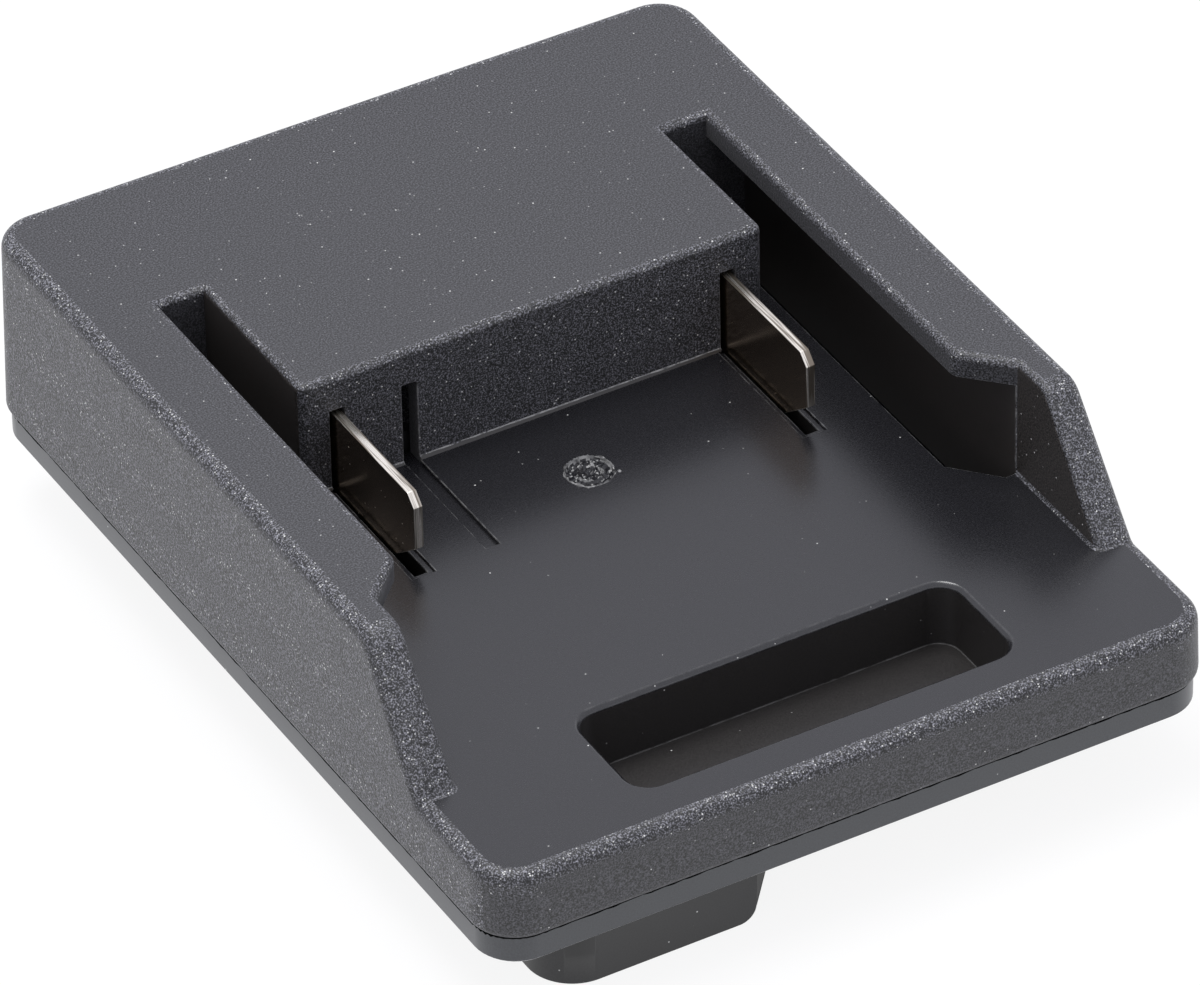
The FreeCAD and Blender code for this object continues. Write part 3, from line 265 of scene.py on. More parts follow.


# Spark-eroded ABS: dark charcoal, pitted like fine sandpaper, with painted highlights on crater
# rims
def spark_eroded_abs(name, base_colour, roughness, depth, grain, glints, haze=0.0, ior=1.53):
    """Reads attributes edge, where grain and painted glints show more, and rim, a painted
    highlight.

    grain holds the tone's swing on flats and on edges, glints the share of painted highlights on
    both.
    """
    sizes = bpy.context.scene.adapter_sizes
    finish = bpy.context.scene.adapter_finish
    patch = 1.2 * MM     # size of the patches that break up the painted highlight lines
    uneven = 0.08        # swing of the roughness
    darkest = 0.1        # least share of the base colour
    material, tree = new_material(name)
    place = add(tree, "TexCoord").outputs["Object"]
    edge = add(tree, "Attribute", attribute_name="edge").outputs["Fac"]
    rim = add(tree, "Attribute", attribute_name="rim").outputs["Fac"]
    craters = add(tree, "TexVoronoi", {"Vector": place, "Scale": 1 / sizes.crater})
    grit = add(tree, "TexNoise", {"Vector": place, "Scale": 1.8 / sizes.crater, "Detail": 1.0})

    # the tone swings about the base colour with the grit
    swing = add(tree, "MapRange", {"Value": edge, "To Min": grain[0], "To Max": grain[1]})
    tone = add(tree, "MapRange", {"Value": grit.outputs["Fac"], "From Min": 0.3, "From Max": 0.7,
                                  "To Min": -1.0, "To Max": 1.0}, clamp=False)
    level = add(tree, "Math", {0: tone.outputs[0], 1: swing.outputs[0], 2: 1.0},
                operation="MULTIPLY_ADD")
    kept = add(tree, "Math", {0: level.outputs[0], 1: darkest}, operation="MAXIMUM")
    base = add(tree, "VectorMath", {0: base_colour[:3], "Scale": kept.outputs[0]},
               operation="SCALE")

    # painted highlights on crater rims crowd together only where the texture shows fully
    crowded = add(tree, "Math", {0: edge, 1: 3.0}, operation="POWER")
    bar = add(tree, "MapRange", {"Value": crowded.outputs[0], "To Min": 1 - glints[0],
                                 "To Max": 1 - glints[1]})
    glint = scatter(tree, place, sizes.glint, bar.outputs[0], 0.5)
    lit = add(tree, "Mix", {0: glint, 6: base.outputs[0], 7: list(finish.glint)},
              data_type="RGBA")

    patchy = add(tree, "TexNoise", {"Vector": place, "Scale": 1 / patch, "Detail": 3.0})
    left = add(tree, "MapRange", {"Value": patchy.outputs["Fac"], "From Min": 0.35,
                                  "From Max": 0.6})
    # the rim lines get a painted highlight in the lighter colour torn, broken up in patches
    painted = add(tree, "Math", {0: rim, 1: left.outputs[0]}, operation="MULTIPLY")
    highlighted = add(tree, "Mix", {0: painted.outputs[0], 6: lit.outputs[2], 7: list(finish.torn)},
               data_type="RGBA")

    rough = add(tree, "MapRange", {"Value": grit.outputs["Fac"], "To Min": roughness - uneven,
                                   "To Max": roughness + uneven})
    relief = add(tree, "Math", {0: craters.outputs["Distance"], 1: grit.outputs["Fac"]},
                 operation="ADD")
    coarse = add(tree, "MapRange", {"Value": edge, "To Min": 0.5, "To Max": 1.0})
    bump = add(tree, "Bump", {"Height": relief.outputs[0], "Strength": coarse.outputs[0],
                              "Distance": depth})
    shader = add(tree, "BsdfPrincipled", {
        "Base Color": highlighted.outputs[2], "Roughness": rough.outputs[0], "Normal": bump.outputs[0],
        "IOR": ior, "Sheen Weight": haze, "Sheen Roughness": 0.5})
    close_tree(tree, shader)
    return material


# Nickel-plated brass strip: a dark warm mirror with dust specks, and brighter sheared edges
def nickel_plate():
    finish = bpy.context.scene.adapter_finish
    sizes = bpy.context.scene.adapter_sizes
    cloud_size = 0.9 * MM
    shear_depth = 0.03 * MM
    material, tree = new_material("nickel_plated_brass")
    place = add(tree, "TexCoord").outputs["Object"]
    edge = add(tree, "Attribute", attribute_name="edge").outputs["Fac"]

    # the bands of a sheared edge follow the strip, so they change only across its thickness
    across = add(tree, "Mapping", {"Vector": place, "Scale": (1.0, 0.03, 0.03)})
    bands = add(tree, "TexNoise", {"Vector": across.outputs[0], "Scale": 1 / sizes.shear,
                                   "Detail": 2.0})
    bright = add(tree, "MapRange", {"Value": bands.outputs["Fac"], "From Min": 0.4,
                                    "From Max": 0.55})
    sheared = add(tree, "Mix", {0: bright.outputs[0], 6: list(finish.fracture),
                                7: list(finish.burnished)}, data_type="RGBA")
    specks = scatter(tree, place, sizes.speck, 0.9, 0.16)
    dusty = add(tree, "Mix", {0: specks, 6: list(finish.nickel), 7: list(finish.burnished)},
                data_type="RGBA")
    tint = add(tree, "Mix", {0: edge, 6: dusty.outputs[2], 7: sheared.outputs[2]},
               data_type="RGBA")

    cloud = add(tree, "TexNoise", {"Vector": place, "Scale": 1 / cloud_size, "Detail": 4.0})
    face_rough = add(tree, "MapRange", {"Value": cloud.outputs["Fac"], "To Min": 0.16,
                                        "To Max": 0.24})
    dulled = add(tree, "Math", {0: specks, 1: face_rough.outputs[0]}, operation="MAXIMUM")
    edge_rough = add(tree, "MapRange", {"Value": bands.outputs["Fac"], "To Min": 0.45,
                                        "To Max": 0.15})
    rough = add(tree, "Mix", {0: edge, 2: dulled.outputs[0], 3: edge_rough.outputs[0]})
    cut = add(tree, "Math", {0: bands.outputs["Fac"], 1: edge}, operation="MULTIPLY")
    bump = add(tree, "Bump", {"Height": cut.outputs[0], "Strength": 0.5,
                              "Distance": shear_depth})
    shader = add(tree, "BsdfPrincipled", {
        "Base Color": tint.outputs[2], "Metallic": 1.0, "Roughness": rough.outputs[0],
        "Normal": bump.outputs[0]})
    close_tree(tree, shader)
    return material


# Plain drawn or plated metal, whose roughness varies a little between low and high
def plain_metal(name, base_colour, low, high):
    cloud_size = 0.8 * MM
    depth = 0.02 * MM
    material, tree = new_material(name)
    place = add(tree, "TexCoord").outputs["Object"]
    cloud = add(tree, "TexNoise", {"Vector": place, "Scale": 1 / cloud_size, "Detail": 4.0})
    rough = add(tree, "MapRange", {"Value": cloud.outputs["Fac"], "To Min": low, "To Max": high})
    bump = add(tree, "Bump", {"Height": cloud.outputs["Fac"], "Strength": 0.2,
                              "Distance": depth})
    shader = add(tree, "BsdfPrincipled", {
        "Base Color": list(base_colour), "Metallic": 1.0, "Roughness": rough.outputs[0],
        "Normal": bump.outputs[0]})
    close_tree(tree, shader)
    return material


# Painted shade of the seam's narrow gap: near black, without shine, a little uneven
def seam_shade(name, base_colour):
    cloud_size = 0.7 * MM
    material, tree = new_material(name)
    place = add(tree, "TexCoord").outputs["Object"]
    cloud = add(tree, "TexNoise", {"Vector": place, "Scale": 1 / cloud_size, "Detail": 3.0})
    level = add(tree, "MapRange", {"Value": cloud.outputs["Fac"], "To Min": 0.4, "To Max": 1.8})
    base = add(tree, "VectorMath", {0: list(base_colour)[:3], "Scale": level.outputs[0]},
               operation="SCALE")
    shader = add(tree, "BsdfPrincipled", {"Base Color": base.outputs[0], "Roughness": 0.95,
                                          "IOR": 1.1})
    close_tree(tree, shader)
    return material


# Extruded PVC insulation: an even satin skin with faint ripples along the wire
def pvc(name, base_colour):
    ripple_size = 1.5 * MM
    depth = 0.05 * MM
    material, tree = new_material(name)
    place = add(tree, "TexCoord").outputs["Object"]
    ripple = add(tree, "TexNoise", {"Vector": place, "Scale": 1 / ripple_size, "Detail": 2.0})
    rough = add(tree, "MapRange", {"Value": ripple.outputs["Fac"], "To Min": 0.35,
                                   "To Max": 0.5})
    bump = add(tree, "Bump", {"Height": ripple.outputs["Fac"], "Strength": 0.3,
                              "Distance": depth})
    shader = add(tree, "BsdfPrincipled", {
        "Base Color": list(base_colour), "Roughness": rough.outputs[0],
        "Normal": bump.outputs[0], "IOR": 1.52})
    close_tree(tree, shader)
    return material


def with_layers(mesh):
    """Give a mesh the two face layers that the plastics and the nickel read."""
    for name in ("edge", "rim"):
        mesh.faces.layers.float.new(name)
    return mesh


def merged(node):
    """A CAD node's triangles, merged into a closed mesh of flat faces and narrow strips."""
    mesh = bmesh.new()
    mesh.from_mesh(frame["nodes"][node].data)
    bmesh.ops.remove_doubles(mesh, verts=mesh.verts, dist=0.002 * MM)
    bmesh.ops.dissolve_limit(mesh, angle_limit=math.radians(0.5), verts=mesh.verts,
                             edges=mesh.edges, use_dissolve_boundaries=False, delimit=set())
    return with_layers(mesh)


def mark(mesh, name, value, faces):
    layer = mesh.faces.layers.float[name]
    for face in faces:
        face[layer] = value


def break_edges(mesh, width, chosen, side=1):
    """Break the sharp edges for which chosen(middle) is true, and return the new faces.

    side is 1 for outer edges and -1 for inner ones.
    """
    edges = [edge for edge in mesh.edges
             if len(edge.link_faces) == 2 and side * edge.calc_face_angle_signed() > SHARP
             and chosen((edge.verts[0].co + edge.verts[1].co) / 2)]
    made = bmesh.ops.bevel(mesh, geom=edges, offset=width, offset_type="OFFSET", segments=2,
                           profile=0.5, affect="EDGES", clamp_overlap=False, material=-1)
    return made["faces"]


def ragged_cut(mesh, faces, level, swing, chosen):
    """Cut faces at a height, and make the cut's chosen edges ragged by up to about the swing."""
    step = 0.35 * MM
    slow, fast = 1.3 * MM, 0.5 * MM
    same_height = 0.001 * MM
    region =list({item for face in faces for item in (face, *face.edges, *face.verts)})
    cut = bmesh.ops.bisect_plane(mesh, geom=region, plane_co=(0, 0, level), plane_no=(0, 0, 1))
    edges = [item for item in cut["geom_cut"]
             if isinstance(item, bmesh.types.BMEdge) and chosen(item)]
    for edge in edges:
        cuts = max(1, int(edge.calc_length() / step))
        bmesh.ops.subdivide_edges(mesh, edges=[edge], cuts=cuts)
    loose = [vert for vert in mesh.verts if abs(vert.co.z - level) < same_height
             and len(vert.link_edges) == 2]
    for vert in loose:
        vert.co.z += (noise.noise(vert.co / slow) + 0.5 * noise.noise(vert.co / fast)) * swing
    return loose


def middle(face):
    return face.calc_center_median()


def lowest(face):
    return min(vert.co.z for vert in face.verts)


def is_strip(face):
    """True for a narrow face of a rounding."""
    widest = 0.7 * MM
    flat = math.radians(1)
    longest = max(edge.calc_length() for edge in face.edges)
    soft = any(len(edge.link_faces) == 2 and flat < abs(edge.calc_face_angle_signed()) < SHARP
               for edge in face.edges)
    return soft and face.calc_area() / longest < widest


def at_foot(face):
    """True for the bevel between the terminal block's face and the deck."""
    reach = 0.4 * MM
    place = middle(face)
    leans = -SQUARE < face.normal.y < -LEANING
    return leans and abs(place.z - DECK) < reach and abs(place.y - BLOCK_FACE) < NEAR


def under_foot_line(face):
    """True for the part of that bevel which reaches down to the deck."""
    touching = 0.05 * MM
    return at_foot(face) and lowest(face) < DECK + touching


def in_pocket(place):
    return abs(place.x) < POCKET_SIDE and POCKET_FRONT < place.y < POCKET_BACK


def finished(mesh, name, nodes, materials):
    """Turn the bmesh into a smooth-shaded piece that rides on the body and stands for its nodes."""
    data = bpy.data.meshes.new(name)
    mesh.to_mesh(data)
    mesh.free()
    piece = bpy.data.objects.new(name, data)
    bpy.context.scene.collection.objects.link(piece)
    for material in materials:
        data.materials.append(material)
    data.shade_smooth()
    data.set_sharp_from_angle(angle=SHARP)
    evened = piece.modifiers.new("even_normals", "WEIGHTED_NORMAL")
    evened.keep_sharp = True
    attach(piece, "root")
    if nodes:
        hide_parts(*nodes)


def mark_grain(mesh, side, back):
    """Mark the housing's outer sides, block, roundings and ramps, where the texture and its painted
    highlights show more.
    """
    lowest_rim = DECK - 2 * MM
    lowest_ramp = DECK + 1 * MM
    rounded = [face for face in mesh.faces if middle(face).z > lowest_rim and is_strip(face)]
    upper = [face for face in rounded if face.normal.z > LEANING]
    inner = [face for face in upper
             if abs(middle(face).x) < side and abs(middle(face).y) < back]
    ramps = [face for face in mesh.faces
             if face.normal.y < -LEANING and SLOPING < face.normal.z < SQUARE
             and middle(face).z > lowest_ramp]
    block = [face for face in mesh.faces
             if face.normal.y < -SQUARE and abs(middle(face).y - BLOCK_FACE) < NEAR]
    sides = [face for face in mesh.faces
             if abs(face.normal.x) > SQUARE and abs(middle(face).x) > side]
    mark(mesh, "edge", GRAIN["side"], sides)
    mark(mesh, "edge", GRAIN["block"], block)
    mark(mesh, "edge", GRAIN["rounding"], rounded)
    mark(mesh, "edge", GRAIN["outer rim"], upper)
    mark(mesh, "edge", GRAIN["inner rim"], inner)
    mark(mesh, "edge", GRAIN["ramp"], ramps)
    # painted light: the ramps are drawn a little lighter
    mark(mesh, "rim", PAINTED_HIGHLIGHT["ramp"], ramps)


def draw_foot_line(mesh):
    """Part the bevel at the block's foot by a ragged line, and mark what lies above it for a
    painted highlight line.
    """
    height = 0.2 * MM
    swing = 0.09 * MM
    foot = [face for face in mesh.faces if at_foot(face)]
    ragged_cut(mesh, foot, DECK + height, swing, lambda edge: True)
    line = [face for face in mesh.faces if at_foot(face) and not under_foot_line(face)]
    mark(mesh, "rim", PAINTED_HIGHLIGHT["foot line"], line)
    mark(mesh, "edge", GRAIN["foot line"], line)


def break_housing_edges(mesh, wide):
    """Break the sharp edges above the deck and in the pocket, and mark the painted highlight lines
    along them.
    """
    width = bpy.context.scene.adapter_sizes.edge_break
    pocket_floor = DECK - 5 * MM
    window_floor = DECK - 1.4 * MM
    outer = wide - 3.5 * MM
    hollows = break_edges(mesh, width, lambda place: place.z < pocket_floor and in_pocket(place),
                          side=-1)
    mark(mesh, "rim", PAINTED_HIGHLIGHT["pocket floor"], hollows)
    broken = break_edges(mesh, width, lambda place: place.z > window_floor and abs(place.x) < outer)
    mark(mesh, "edge", GRAIN["broken edge"], broken)
    mark(mesh, "rim", PAINTED_HIGHLIGHT["broken edge"], broken)
    mark(mesh, "rim", PAINTED_HIGHLIGHT["pocket rim"], [face for face in broken if in_pocket(middle(face))])


def mark_windows(mesh, side):
    """Mark the painted highlight line where the round-over of the deck's windows ends."""
    least, most = 0.05, 0.4    # share of the normal that points up, next to an upright wall
    depth = 1 * MM
    mark(mesh, "rim", PAINTED_HIGHLIGHT["window"], [
        face for face in mesh.faces if is_strip(face) and least < face.normal.z < most
        and abs(middle(face).x) < side and CHANNEL_MOUTH < middle(face).y < BLOCK_FACE
        and DECK - depth < middle(face).z < DECK])


def choose_skins(mesh, side, back):
    """Give the polished deck a material of its own, and the channels and hollows warm copies of the
    ABS that paint their light and shade.
    """
    sizes = bpy.context.scene.adapter_sizes
    close = 0.25 * MM
    hollow = DECK - 0.9 * MM
    deck_top = DECK + 0.02 * MM
    for face in mesh.faces:
        place = middle(face)
        within = abs(place.x) < side and abs(place.y) < back
        on_wall = any(abs(abs(place.x) - wall) < close
                      for wall in (sizes.rail_wall, sizes.block_side))
        # painted light and shade: the channel walls take the channels' copy of the ABS
        if within and abs(face.normal.x) > SQUARE and on_wall:
            face.material_index = CHANNEL_SHADE
            if place.y < CHANNEL_MOUTH:
                mark(mesh, "edge", GRAIN["mouth wall"], [face])
        # painted light and shade: the hollows and the strip under the foot line take the hollows'
        # copy of the ABS
        elif within and place.z < hollow or under_foot_line(face):
            face.material_index = HOLLOW_SHADE
        elif within and place.z < deck_top:
            face.material_index = POLISHED


def make_housing():
    sizes = bpy.context.scene.adapter_sizes
    finish = bpy.context.scene.adapter_finish
    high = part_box("top_housing")[1]
    side = high.x - sizes.wall
    back = high.y - sizes.wall
    mesh = merged("top_housing")
    mark_grain(mesh, side, back)
    draw_foot_line(mesh)
    break_housing_edges(mesh, high.x)
    mark_windows(mesh, side)
    choose_skins(mesh, side, back)
    shell = spark_eroded_abs(
        "abs_spark_eroded", finish.shell, finish.shell_roughness, sizes.crater_depth,
        grain=(1.5, 7.0), glints=(finish.flat_glints, finish.edge_glints), haze=finish.haze)
    # the polished skin shines more strongly than the index of 1.53 of ABS gives
    polished = spark_eroded_abs(
        "abs_tool_polished", finish.satin, finish.satin_roughness, sizes.polish_depth,
        grain=SMOOTH, glints=FEW_GLINTS, ior=1.64)
    # the channels' copy of the ABS paints their warm bounce light and shade
    channel = spark_eroded_abs(
        "abs_channel_shade", finish.channel, finish.channel_roughness, sizes.polish_depth,
        grain=(0.2, 1.5), glints=FEW_GLINTS)
    # the hollows' copy of the ABS paints their bounce light and shade
    pocket = spark_eroded_abs(
        "abs_hollow_shade", finish.pocket, finish.pocket_roughness, sizes.polish_depth,
        grain=SMOOTH, glints=FEW_GLINTS)
    finished(mesh, "housing_shell", ["top_housing"],
             [shell, polished, channel, pocket])


def hump(distance, width):
    """Height of a soft ridge at a distance from its crest, from 0 to 1."""
    return math.exp(-(distance / width) ** 2)


def make_gate():
    """The torn skin of the gate: a burr round the dish and a ragged ring inside it."""
    sizes = bpy.context.scene.adapter_sizes
    finish = bpy.context.scene.adapter_finish
    margin, rings, ring_width = 1.0 * MM, 26, 0.13 * MM
    sunk, thickness = 0.8 * MM, 0.4 * MM
    slow, fast = 0.9 * MM, 0.3 * MM            # sizes of the noise that bends and tears the skin
    bend, torn, whole = 0.22 * MM, 0.25, 0.05  # its swing, inside the burr and outside it in mm
    burr_height, burr_width = 0.52, 0.16 * MM
    stub_height, stub_width = 0.3, 0.26 * MM
    blob, blob_width = GATE + Vector((2.5, -1.5, 0)) * MM, 0.4 * MM
    crest = DECK - 0.1 * MM                    # skin above this gets a painted highlight

    mesh = bmesh.new()
    bmesh.ops.create_circle(mesh, cap_ends=True, segments=72, radius=sizes.scar + margin)
    bmesh.ops.translate(mesh, verts=mesh.verts, vec=GATE - Vector((0, 0, sunk)))
    raised = bmesh.ops.extrude_face_region(mesh, geom=mesh.faces[:])
    top = [item for item in raised["geom"] if isinstance(item, bmesh.types.BMFace)]
    bmesh.ops.translate(mesh, verts=top[0].verts[:], vec=(0, 0, thickness))
    for _ in range(rings):
        bmesh.ops.inset_region(mesh, faces=top, thickness=ring_width, use_even_offset=True)
    bmesh.ops.recalc_face_normals(mesh, faces=mesh.faces)
    with_layers(mesh)

    crests = []
    for vert in mesh.verts:
        if vert.co.z < DECK - sunk + thickness / 2:
            continue
        radius = (vert.co.xy - GATE.xy).length
        reach = radius + noise.noise(vert.co / slow) * bend
        burr = hump(reach - sizes.scar, burr_width)
        stub = hump(reach - sizes.stub, stub_width)
        beside = hump((vert.co.xy - blob.xy).length, blob_width)
        ragged = noise.noise(vert.co / fast) * (torn if radius < sizes.scar else whole)
        vert.co.z += (burr_height * max(burr, beside) + stub_height * stub
                      + ragged * (1 + beside)) * MM
        if vert.co.z > crest:
            crests.append(vert)
    mark(mesh, "rim", PAINTED_HIGHLIGHT["gate"], {face for vert in crests for face in vert.link_faces})
    finished(mesh, "gate_scar", [], [
        spark_eroded_abs("abs_torn", finish.satin, finish.torn_roughness, sizes.polish_depth,
                         grain=(0.3, 0.3), glints=(0.01, 0.1))])


def make_cover():
    sizes = bpy.context.scene.adapter_sizes
    finish = bpy.context.scene.adapter_finish
    mesh = merged("bottom_cover")
    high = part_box("bottom_cover")[1]
    # painted highlight: a light line along the bevel of the cover's lower edge
    bevel = [face for face in mesh.faces
             if -SQUARE < face.normal.z < -SLOPING and middle(face).z < NEAR]
    mark(mesh, "rim", PAINTED_HIGHLIGHT["cover bevel"], bevel)

    # painted shade: a dark, ragged seam runs round the cover just below the housing's lower edge
    level = sizes.parting - sizes.seam
    swing = 0.9 * sizes.seam
    skin, corner, fade = 1 * MM, 2.5 * MM, 2 * MM
    touching = 0.01 * MM

    def outside(edge):
        return all(abs(vert.co.x) > high.x - skin or abs(vert.co.y) > high.y - skin
                   or (Vector((abs(vert.co.x), abs(vert.co.y))) - high.xy).length < corner
                   for vert in edge.verts)

    for vert in ragged_cut(mesh, mesh.faces[:], level, swing, outside):
        beside = min(1.0, max(0.0, (abs(vert.co.x) - high.x) / fade + 1))
        vert.co.z -= beside * sizes.seam_drop
    for face in mesh.faces:
        top = max(vert.co.z for vert in face.verts)
        at_parting = abs(top - sizes.parting) < touching and lowest(face) > level - skin
        if at_parting and abs(face.normal.z) < LEANING:
            face.material_index = 1
    moulded = spark_eroded_abs(
        "abs_moulded", finish.cover, finish.cover_roughness, sizes.polish_depth,
        grain=SMOOTH, glints=FEWER_GLINTS, haze=2 * finish.haze)
    finished(mesh, "cover_tray", ["bottom_cover"],
             [moulded, seam_shade("shade_in_seam", finish.seam)])


def make_plug():
    sizes = bpy.context.scene.adapter_sizes
    finish = bpy.context.scene.adapter_finish
    material = spark_eroded_abs("polyamide", finish.plug, finish.plug_roughness,
                                sizes.polish_depth, grain=(0.3, 0.5), glints=FEWER_GLINTS)
    below_cover = -1 * MM
    for node, name in (("docking_plug", "plug_shell"), ("plug_lid", "plug_cap")):
        mesh = merged(node)
        broken = break_edges(mesh, sizes.edge_break, lambda place: place.z < below_cover)
        mark(mesh, "edge", GRAIN["plug edge"], broken)
        finished(mesh, name, [node], [material])


def make_blades():
    sizes = bpy.context.scene.adapter_sizes
    material = nickel_plate()
    for pole in ("negative", "positive"):
        mesh = merged(f"blade_{pole}")
        narrow = [face for face in mesh.faces if abs(face.normal.x) < LEANING]
        mark(mesh, "edge", GRAIN["sheared edge"], narrow)
        broken = break_edges(mesh, sizes.metal_break, lambda place: True)
        mark(mesh, "edge", GRAIN["sheared edge"], broken)
        finished(mesh, f"contact_blade_{pole}", [f"blade_{pole}"], [material])


def dress_inside():
    """Materials of the pieces that keep the shape they have in the frame."""
    sizes = bpy.context.scene.adapter_sizes
    finish = bpy.context.scene.adapter_finish
    brass = plain_metal("bare_brass", finish.brass, low=0.25, high=0.4)
    zinc = plain_metal("zinc_plated_steel", finish.zinc, low=0.25, high=0.42)
    nylon = spark_eroded_abs("glass_filled_nylon", finish.nylon, finish.nylon_roughness,
                             sizes.polish_depth, grain=(0.4, 0.4), glints=(0.01, 0.01))
    chosen = {"terminal_carrier": nylon, "cover_screws": zinc, "carrier_screws": zinc,
              "lead_negative": pvc("pvc_black", finish.black_lead),
              "lead_positive": pvc("pvc_red", finish.red_lead)}
    for pole in ("negative", "positive"):
        chosen[f"plug_contact_{pole}"] = brass
        chosen[f"receptacle_{pole}"] = brass
    for node, material in chosen.items():
        slots = frame["nodes"][node].data.materials
        slots.clear()
        slots.append(material)


def make_camera():
    stage = bpy.context.scene.adapter_stage
    data = bpy.data.cameras.new("camera")
    camera = bpy.data.objects.new("camera", data)
    bpy.context.scene.collection.objects.link(camera)
    place = Vector(stage.camera_place)
    ahead = (Vector(stage.camera_target) - place).normalized()
    level = ahead.cross(Vector((0, 0, 1))).normalized()
    right = Matrix.Rotation(stage.camera_roll, 3, ahead) @ level
    over = right.cross(ahead)
    turn = Matrix((right, over, -ahead)).transposed().to_4x4()
    camera.matrix_world = Matrix.Translation(place) @ turn
    data.sensor_width = 36.0
    data.lens = stage.camera_lens
    data.shift_y = stage.camera_shift
    data.clip_start = 0.01
    data.clip_end = 100.0
    bpy.context.scene.camera = camera


def is_seen(tree):
    """1 for the rays that see a thing directly, in a reflection or through glass."""
    path = add(tree, "LightPath")
    direct = add(tree, "Math", {0: path.outputs["Is Camera Ray"],
                                1: path.outputs["Is Glossy Ray"]}, operation="MAXIMUM")
    seen = add(tree, "Math", {0: direct.outputs[0], 1: path.outputs["Is Transmission Ray"]},
               operation="MAXIMUM")
    return seen.outputs[0]


# White seamless paper: matt, and close to plain white where it is seen, with a faint shadow
def make_floor(height):
    stage = bpy.context.scene.adapter_stage
    material, tree = new_material("seamless_paper")
    glow = add(tree, "Math", {0: is_seen(tree), 1: stage.paper_glow}, operation="MULTIPLY")
    paper = add(tree, "BsdfDiffuse", {"Color": linear("#F4F4F4"), "Roughness": 0.3})
    white = add(tree, "Emission", {"Color": linear("#FFFFFF"), "Strength": 1.0})
    close_tree(tree, add(tree, "MixShader", {0: glow.outputs[0], 1: paper.outputs[0],
                                             2: white.outputs[0]}))
    mesh = bmesh.new()
    bmesh.ops.create_grid(mesh, x_segments=1, y_segments=1, size=stage.paper_size)
    bmesh.ops.translate(mesh, verts=mesh.verts, vec=(0, 0, height))
    data = bpy.data.meshes.new("floor")
    mesh.to_mesh(data)
    mesh.free()
    data.materials.append(material)
    floor = bpy.data.objects.new("floor", data)
    bpy.context.scene.collection.objects.link(floor)


def light_stage():
    """A white tent all round, and one soft lamp overhead that gives the edges their shine."""
    stage = bpy.context.scene.adapter_stage
    world = bpy.data.worlds.new("tent")
    bpy.context.scene.world = world
    world.use_nodes = True
    tree = world.node_tree
    tree.nodes.clear()
    path = add(tree, "LightPath")
    direction = add(tree, "SeparateXYZ", {0: add(tree, "TexCoord").outputs["Generated"]})
    # the tent ends a little above the paper, so low reflections are darker than high ones
    height = add(tree, "MapRange", {"Value": direction.outputs["Z"], "From Min": 0.0,
                                    "From Max": stage.tent_edge, "To Min": stage.horizon,
                                    "To Max": 1.0})
    reflected = add(tree, "Mix", {0: path.outputs["Is Glossy Ray"], 2: stage.tent_strength,
                                  3: height.outputs[0]})
    direct = add(tree, "Math", {0: path.outputs["Is Camera Ray"],
                                1: path.outputs["Is Transmission Ray"]}, operation="MAXIMUM")
    strength = add(tree, "Mix", {0: direct.outputs[0], 2: reflected.outputs[0], 3: 1.0})
    tint = add(tree, "Mix", {0: direct.outputs[0], 6: list(stage.tent_colour),
                             7: linear("#FFFFFF")}, data_type="RGBA")
    white = add(tree, "Background", {"Color": tint.outputs[2], "Strength": strength.outputs[0]})
    add(tree, "OutputWorld", {"Surface": white.outputs[0]})

    lamp = bpy.data.lights.new("overhead", "AREA")
    lamp.shape = "RECTANGLE"
    lamp.size = stage.lamp_width
    lamp.size_y = stage.lamp_depth
    lamp.energy = stage.lamp_power
    holder = bpy.data.objects.new("overhead", lamp)
    holder.location = stage.lamp_place
    holder.rotation_euler = Vector(stage.lamp_place).to_track_quat("Z", "Y").to_euler()
    bpy.context.scene.collection.objects.link(holder)


class ADAPTER_OT_stage(bpy.types.Operator):
    """Camera, paper floor and lamps"""
    bl_idname = "adapter.stage"
    bl_label = "Set the stage"

    def execute(self, context):
        make_camera()
        make_floor(CAD_BOX[0].z - context.scene.adapter_stage.paper_gap)
        light_stage()
        context.scene.view_settings.view_transform = "Standard"
        return {"FINISHED"}


class ADAPTER_OT_housing(bpy.types.Operator):
    """Upper housing with broken edges and spark-eroded skin"""
    bl_idname = "adapter.housing"
    bl_label = "Housing"

    def execute(self, context):
        make_housing()
        return {"FINISHED"}


class ADAPTER_OT_gate(bpy.types.Operator):
    """Burr and torn ring where the moulding's gate was broken off"""
    bl_idname = "adapter.gate"
    bl_label = "Gate scar"

    def execute(self, context):
        make_gate()
        return {"FINISHED"}


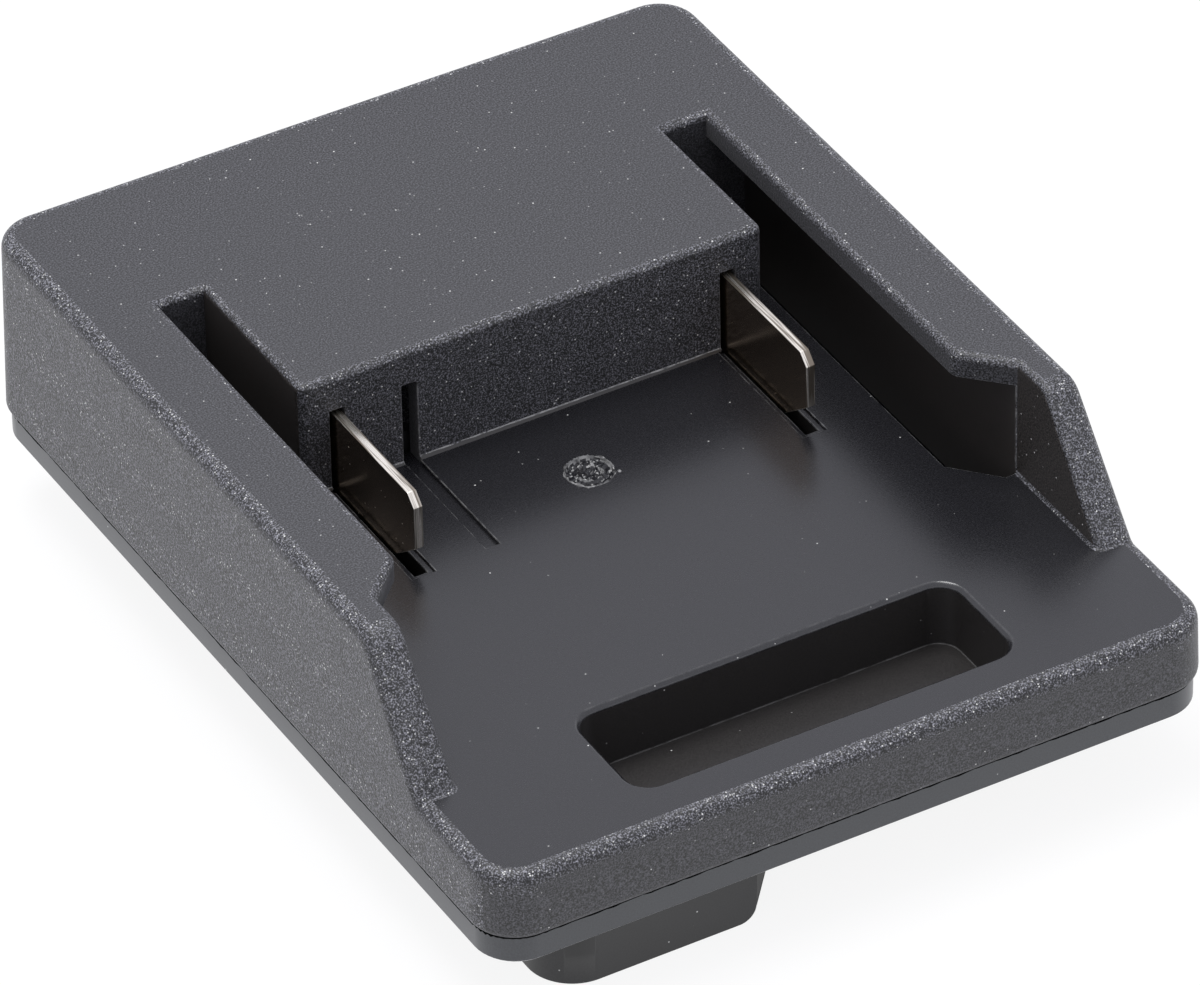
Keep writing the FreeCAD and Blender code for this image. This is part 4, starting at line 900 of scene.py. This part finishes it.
class ADAPTER_OT_cover(bpy.types.Operator):
    """Bottom cover with the painted shade of the seam above it"""
    bl_idname = "adapter.cover"
    bl_label = "Cover"

    def execute(self, context):
        make_cover()
        return {"FINISHED"}


class ADAPTER_OT_plug(bpy.types.Operator):
    """Docking plug and its lid"""
    bl_idname = "adapter.plug"
    bl_label = "Docking plug"

    def execute(self, context):
        make_plug()
        return {"FINISHED"}


class ADAPTER_OT_blades(bpy.types.Operator):
    """Contact blades with sheared edges"""
    bl_idname = "adapter.blades"
    bl_label = "Blades"

    def execute(self, context):
        make_blades()
        return {"FINISHED"}


class ADAPTER_OT_inside(bpy.types.Operator):
    """Carrier, leads, inner contacts and screws"""
    bl_idname = "adapter.inside"
    bl_label = "Inner pieces"

    def execute(self, context):
        dress_inside()
        return {"FINISHED"}


STEPS = (ADAPTER_OT_stage, ADAPTER_OT_housing, ADAPTER_OT_gate, ADAPTER_OT_cover,
         ADAPTER_OT_plug, ADAPTER_OT_blades, ADAPTER_OT_inside)
GROUPS = {"adapter_sizes": AdapterSizes, "adapter_finish": AdapterFinish,
          "adapter_stage": AdapterStage}


class ADAPTER_PT_panel(bpy.types.Panel):
    """Sidebar panel with the sizes, finishes and steps"""
    bl_label = "Battery adapter"
    bl_idname = "ADAPTER_PT_panel"
    bl_space_type = "VIEW_3D"
    bl_region_type = "UI"
    bl_category = "Adapter"

    def draw(self, context):
        for step in STEPS:
            self.layout.operator(step.bl_idname)
        for group in GROUPS:
            settings = getattr(context.scene, group)
            for name in settings.__annotations__:
                self.layout.prop(settings, name)


def register():
    for group, kind in GROUPS.items():
        bpy.utils.register_class(kind)
        setattr(bpy.types.Scene, group, PointerProperty(type=kind))
    for step in STEPS:
        bpy.utils.register_class(step)
    bpy.utils.register_class(ADAPTER_PT_panel)


def unregister():
    bpy.utils.unregister_class(ADAPTER_PT_panel)
    for step in reversed(STEPS):
        bpy.utils.unregister_class(step)
    for group, kind in reversed(GROUPS.items()):
        delattr(bpy.types.Scene, group)
        bpy.utils.unregister_class(kind)


def main():
    register()
    for step in STEPS:
        package, name = step.bl_idname.split(".")
        getattr(getattr(bpy.ops, package), name)()


if __name__ == "__main__":
    main()
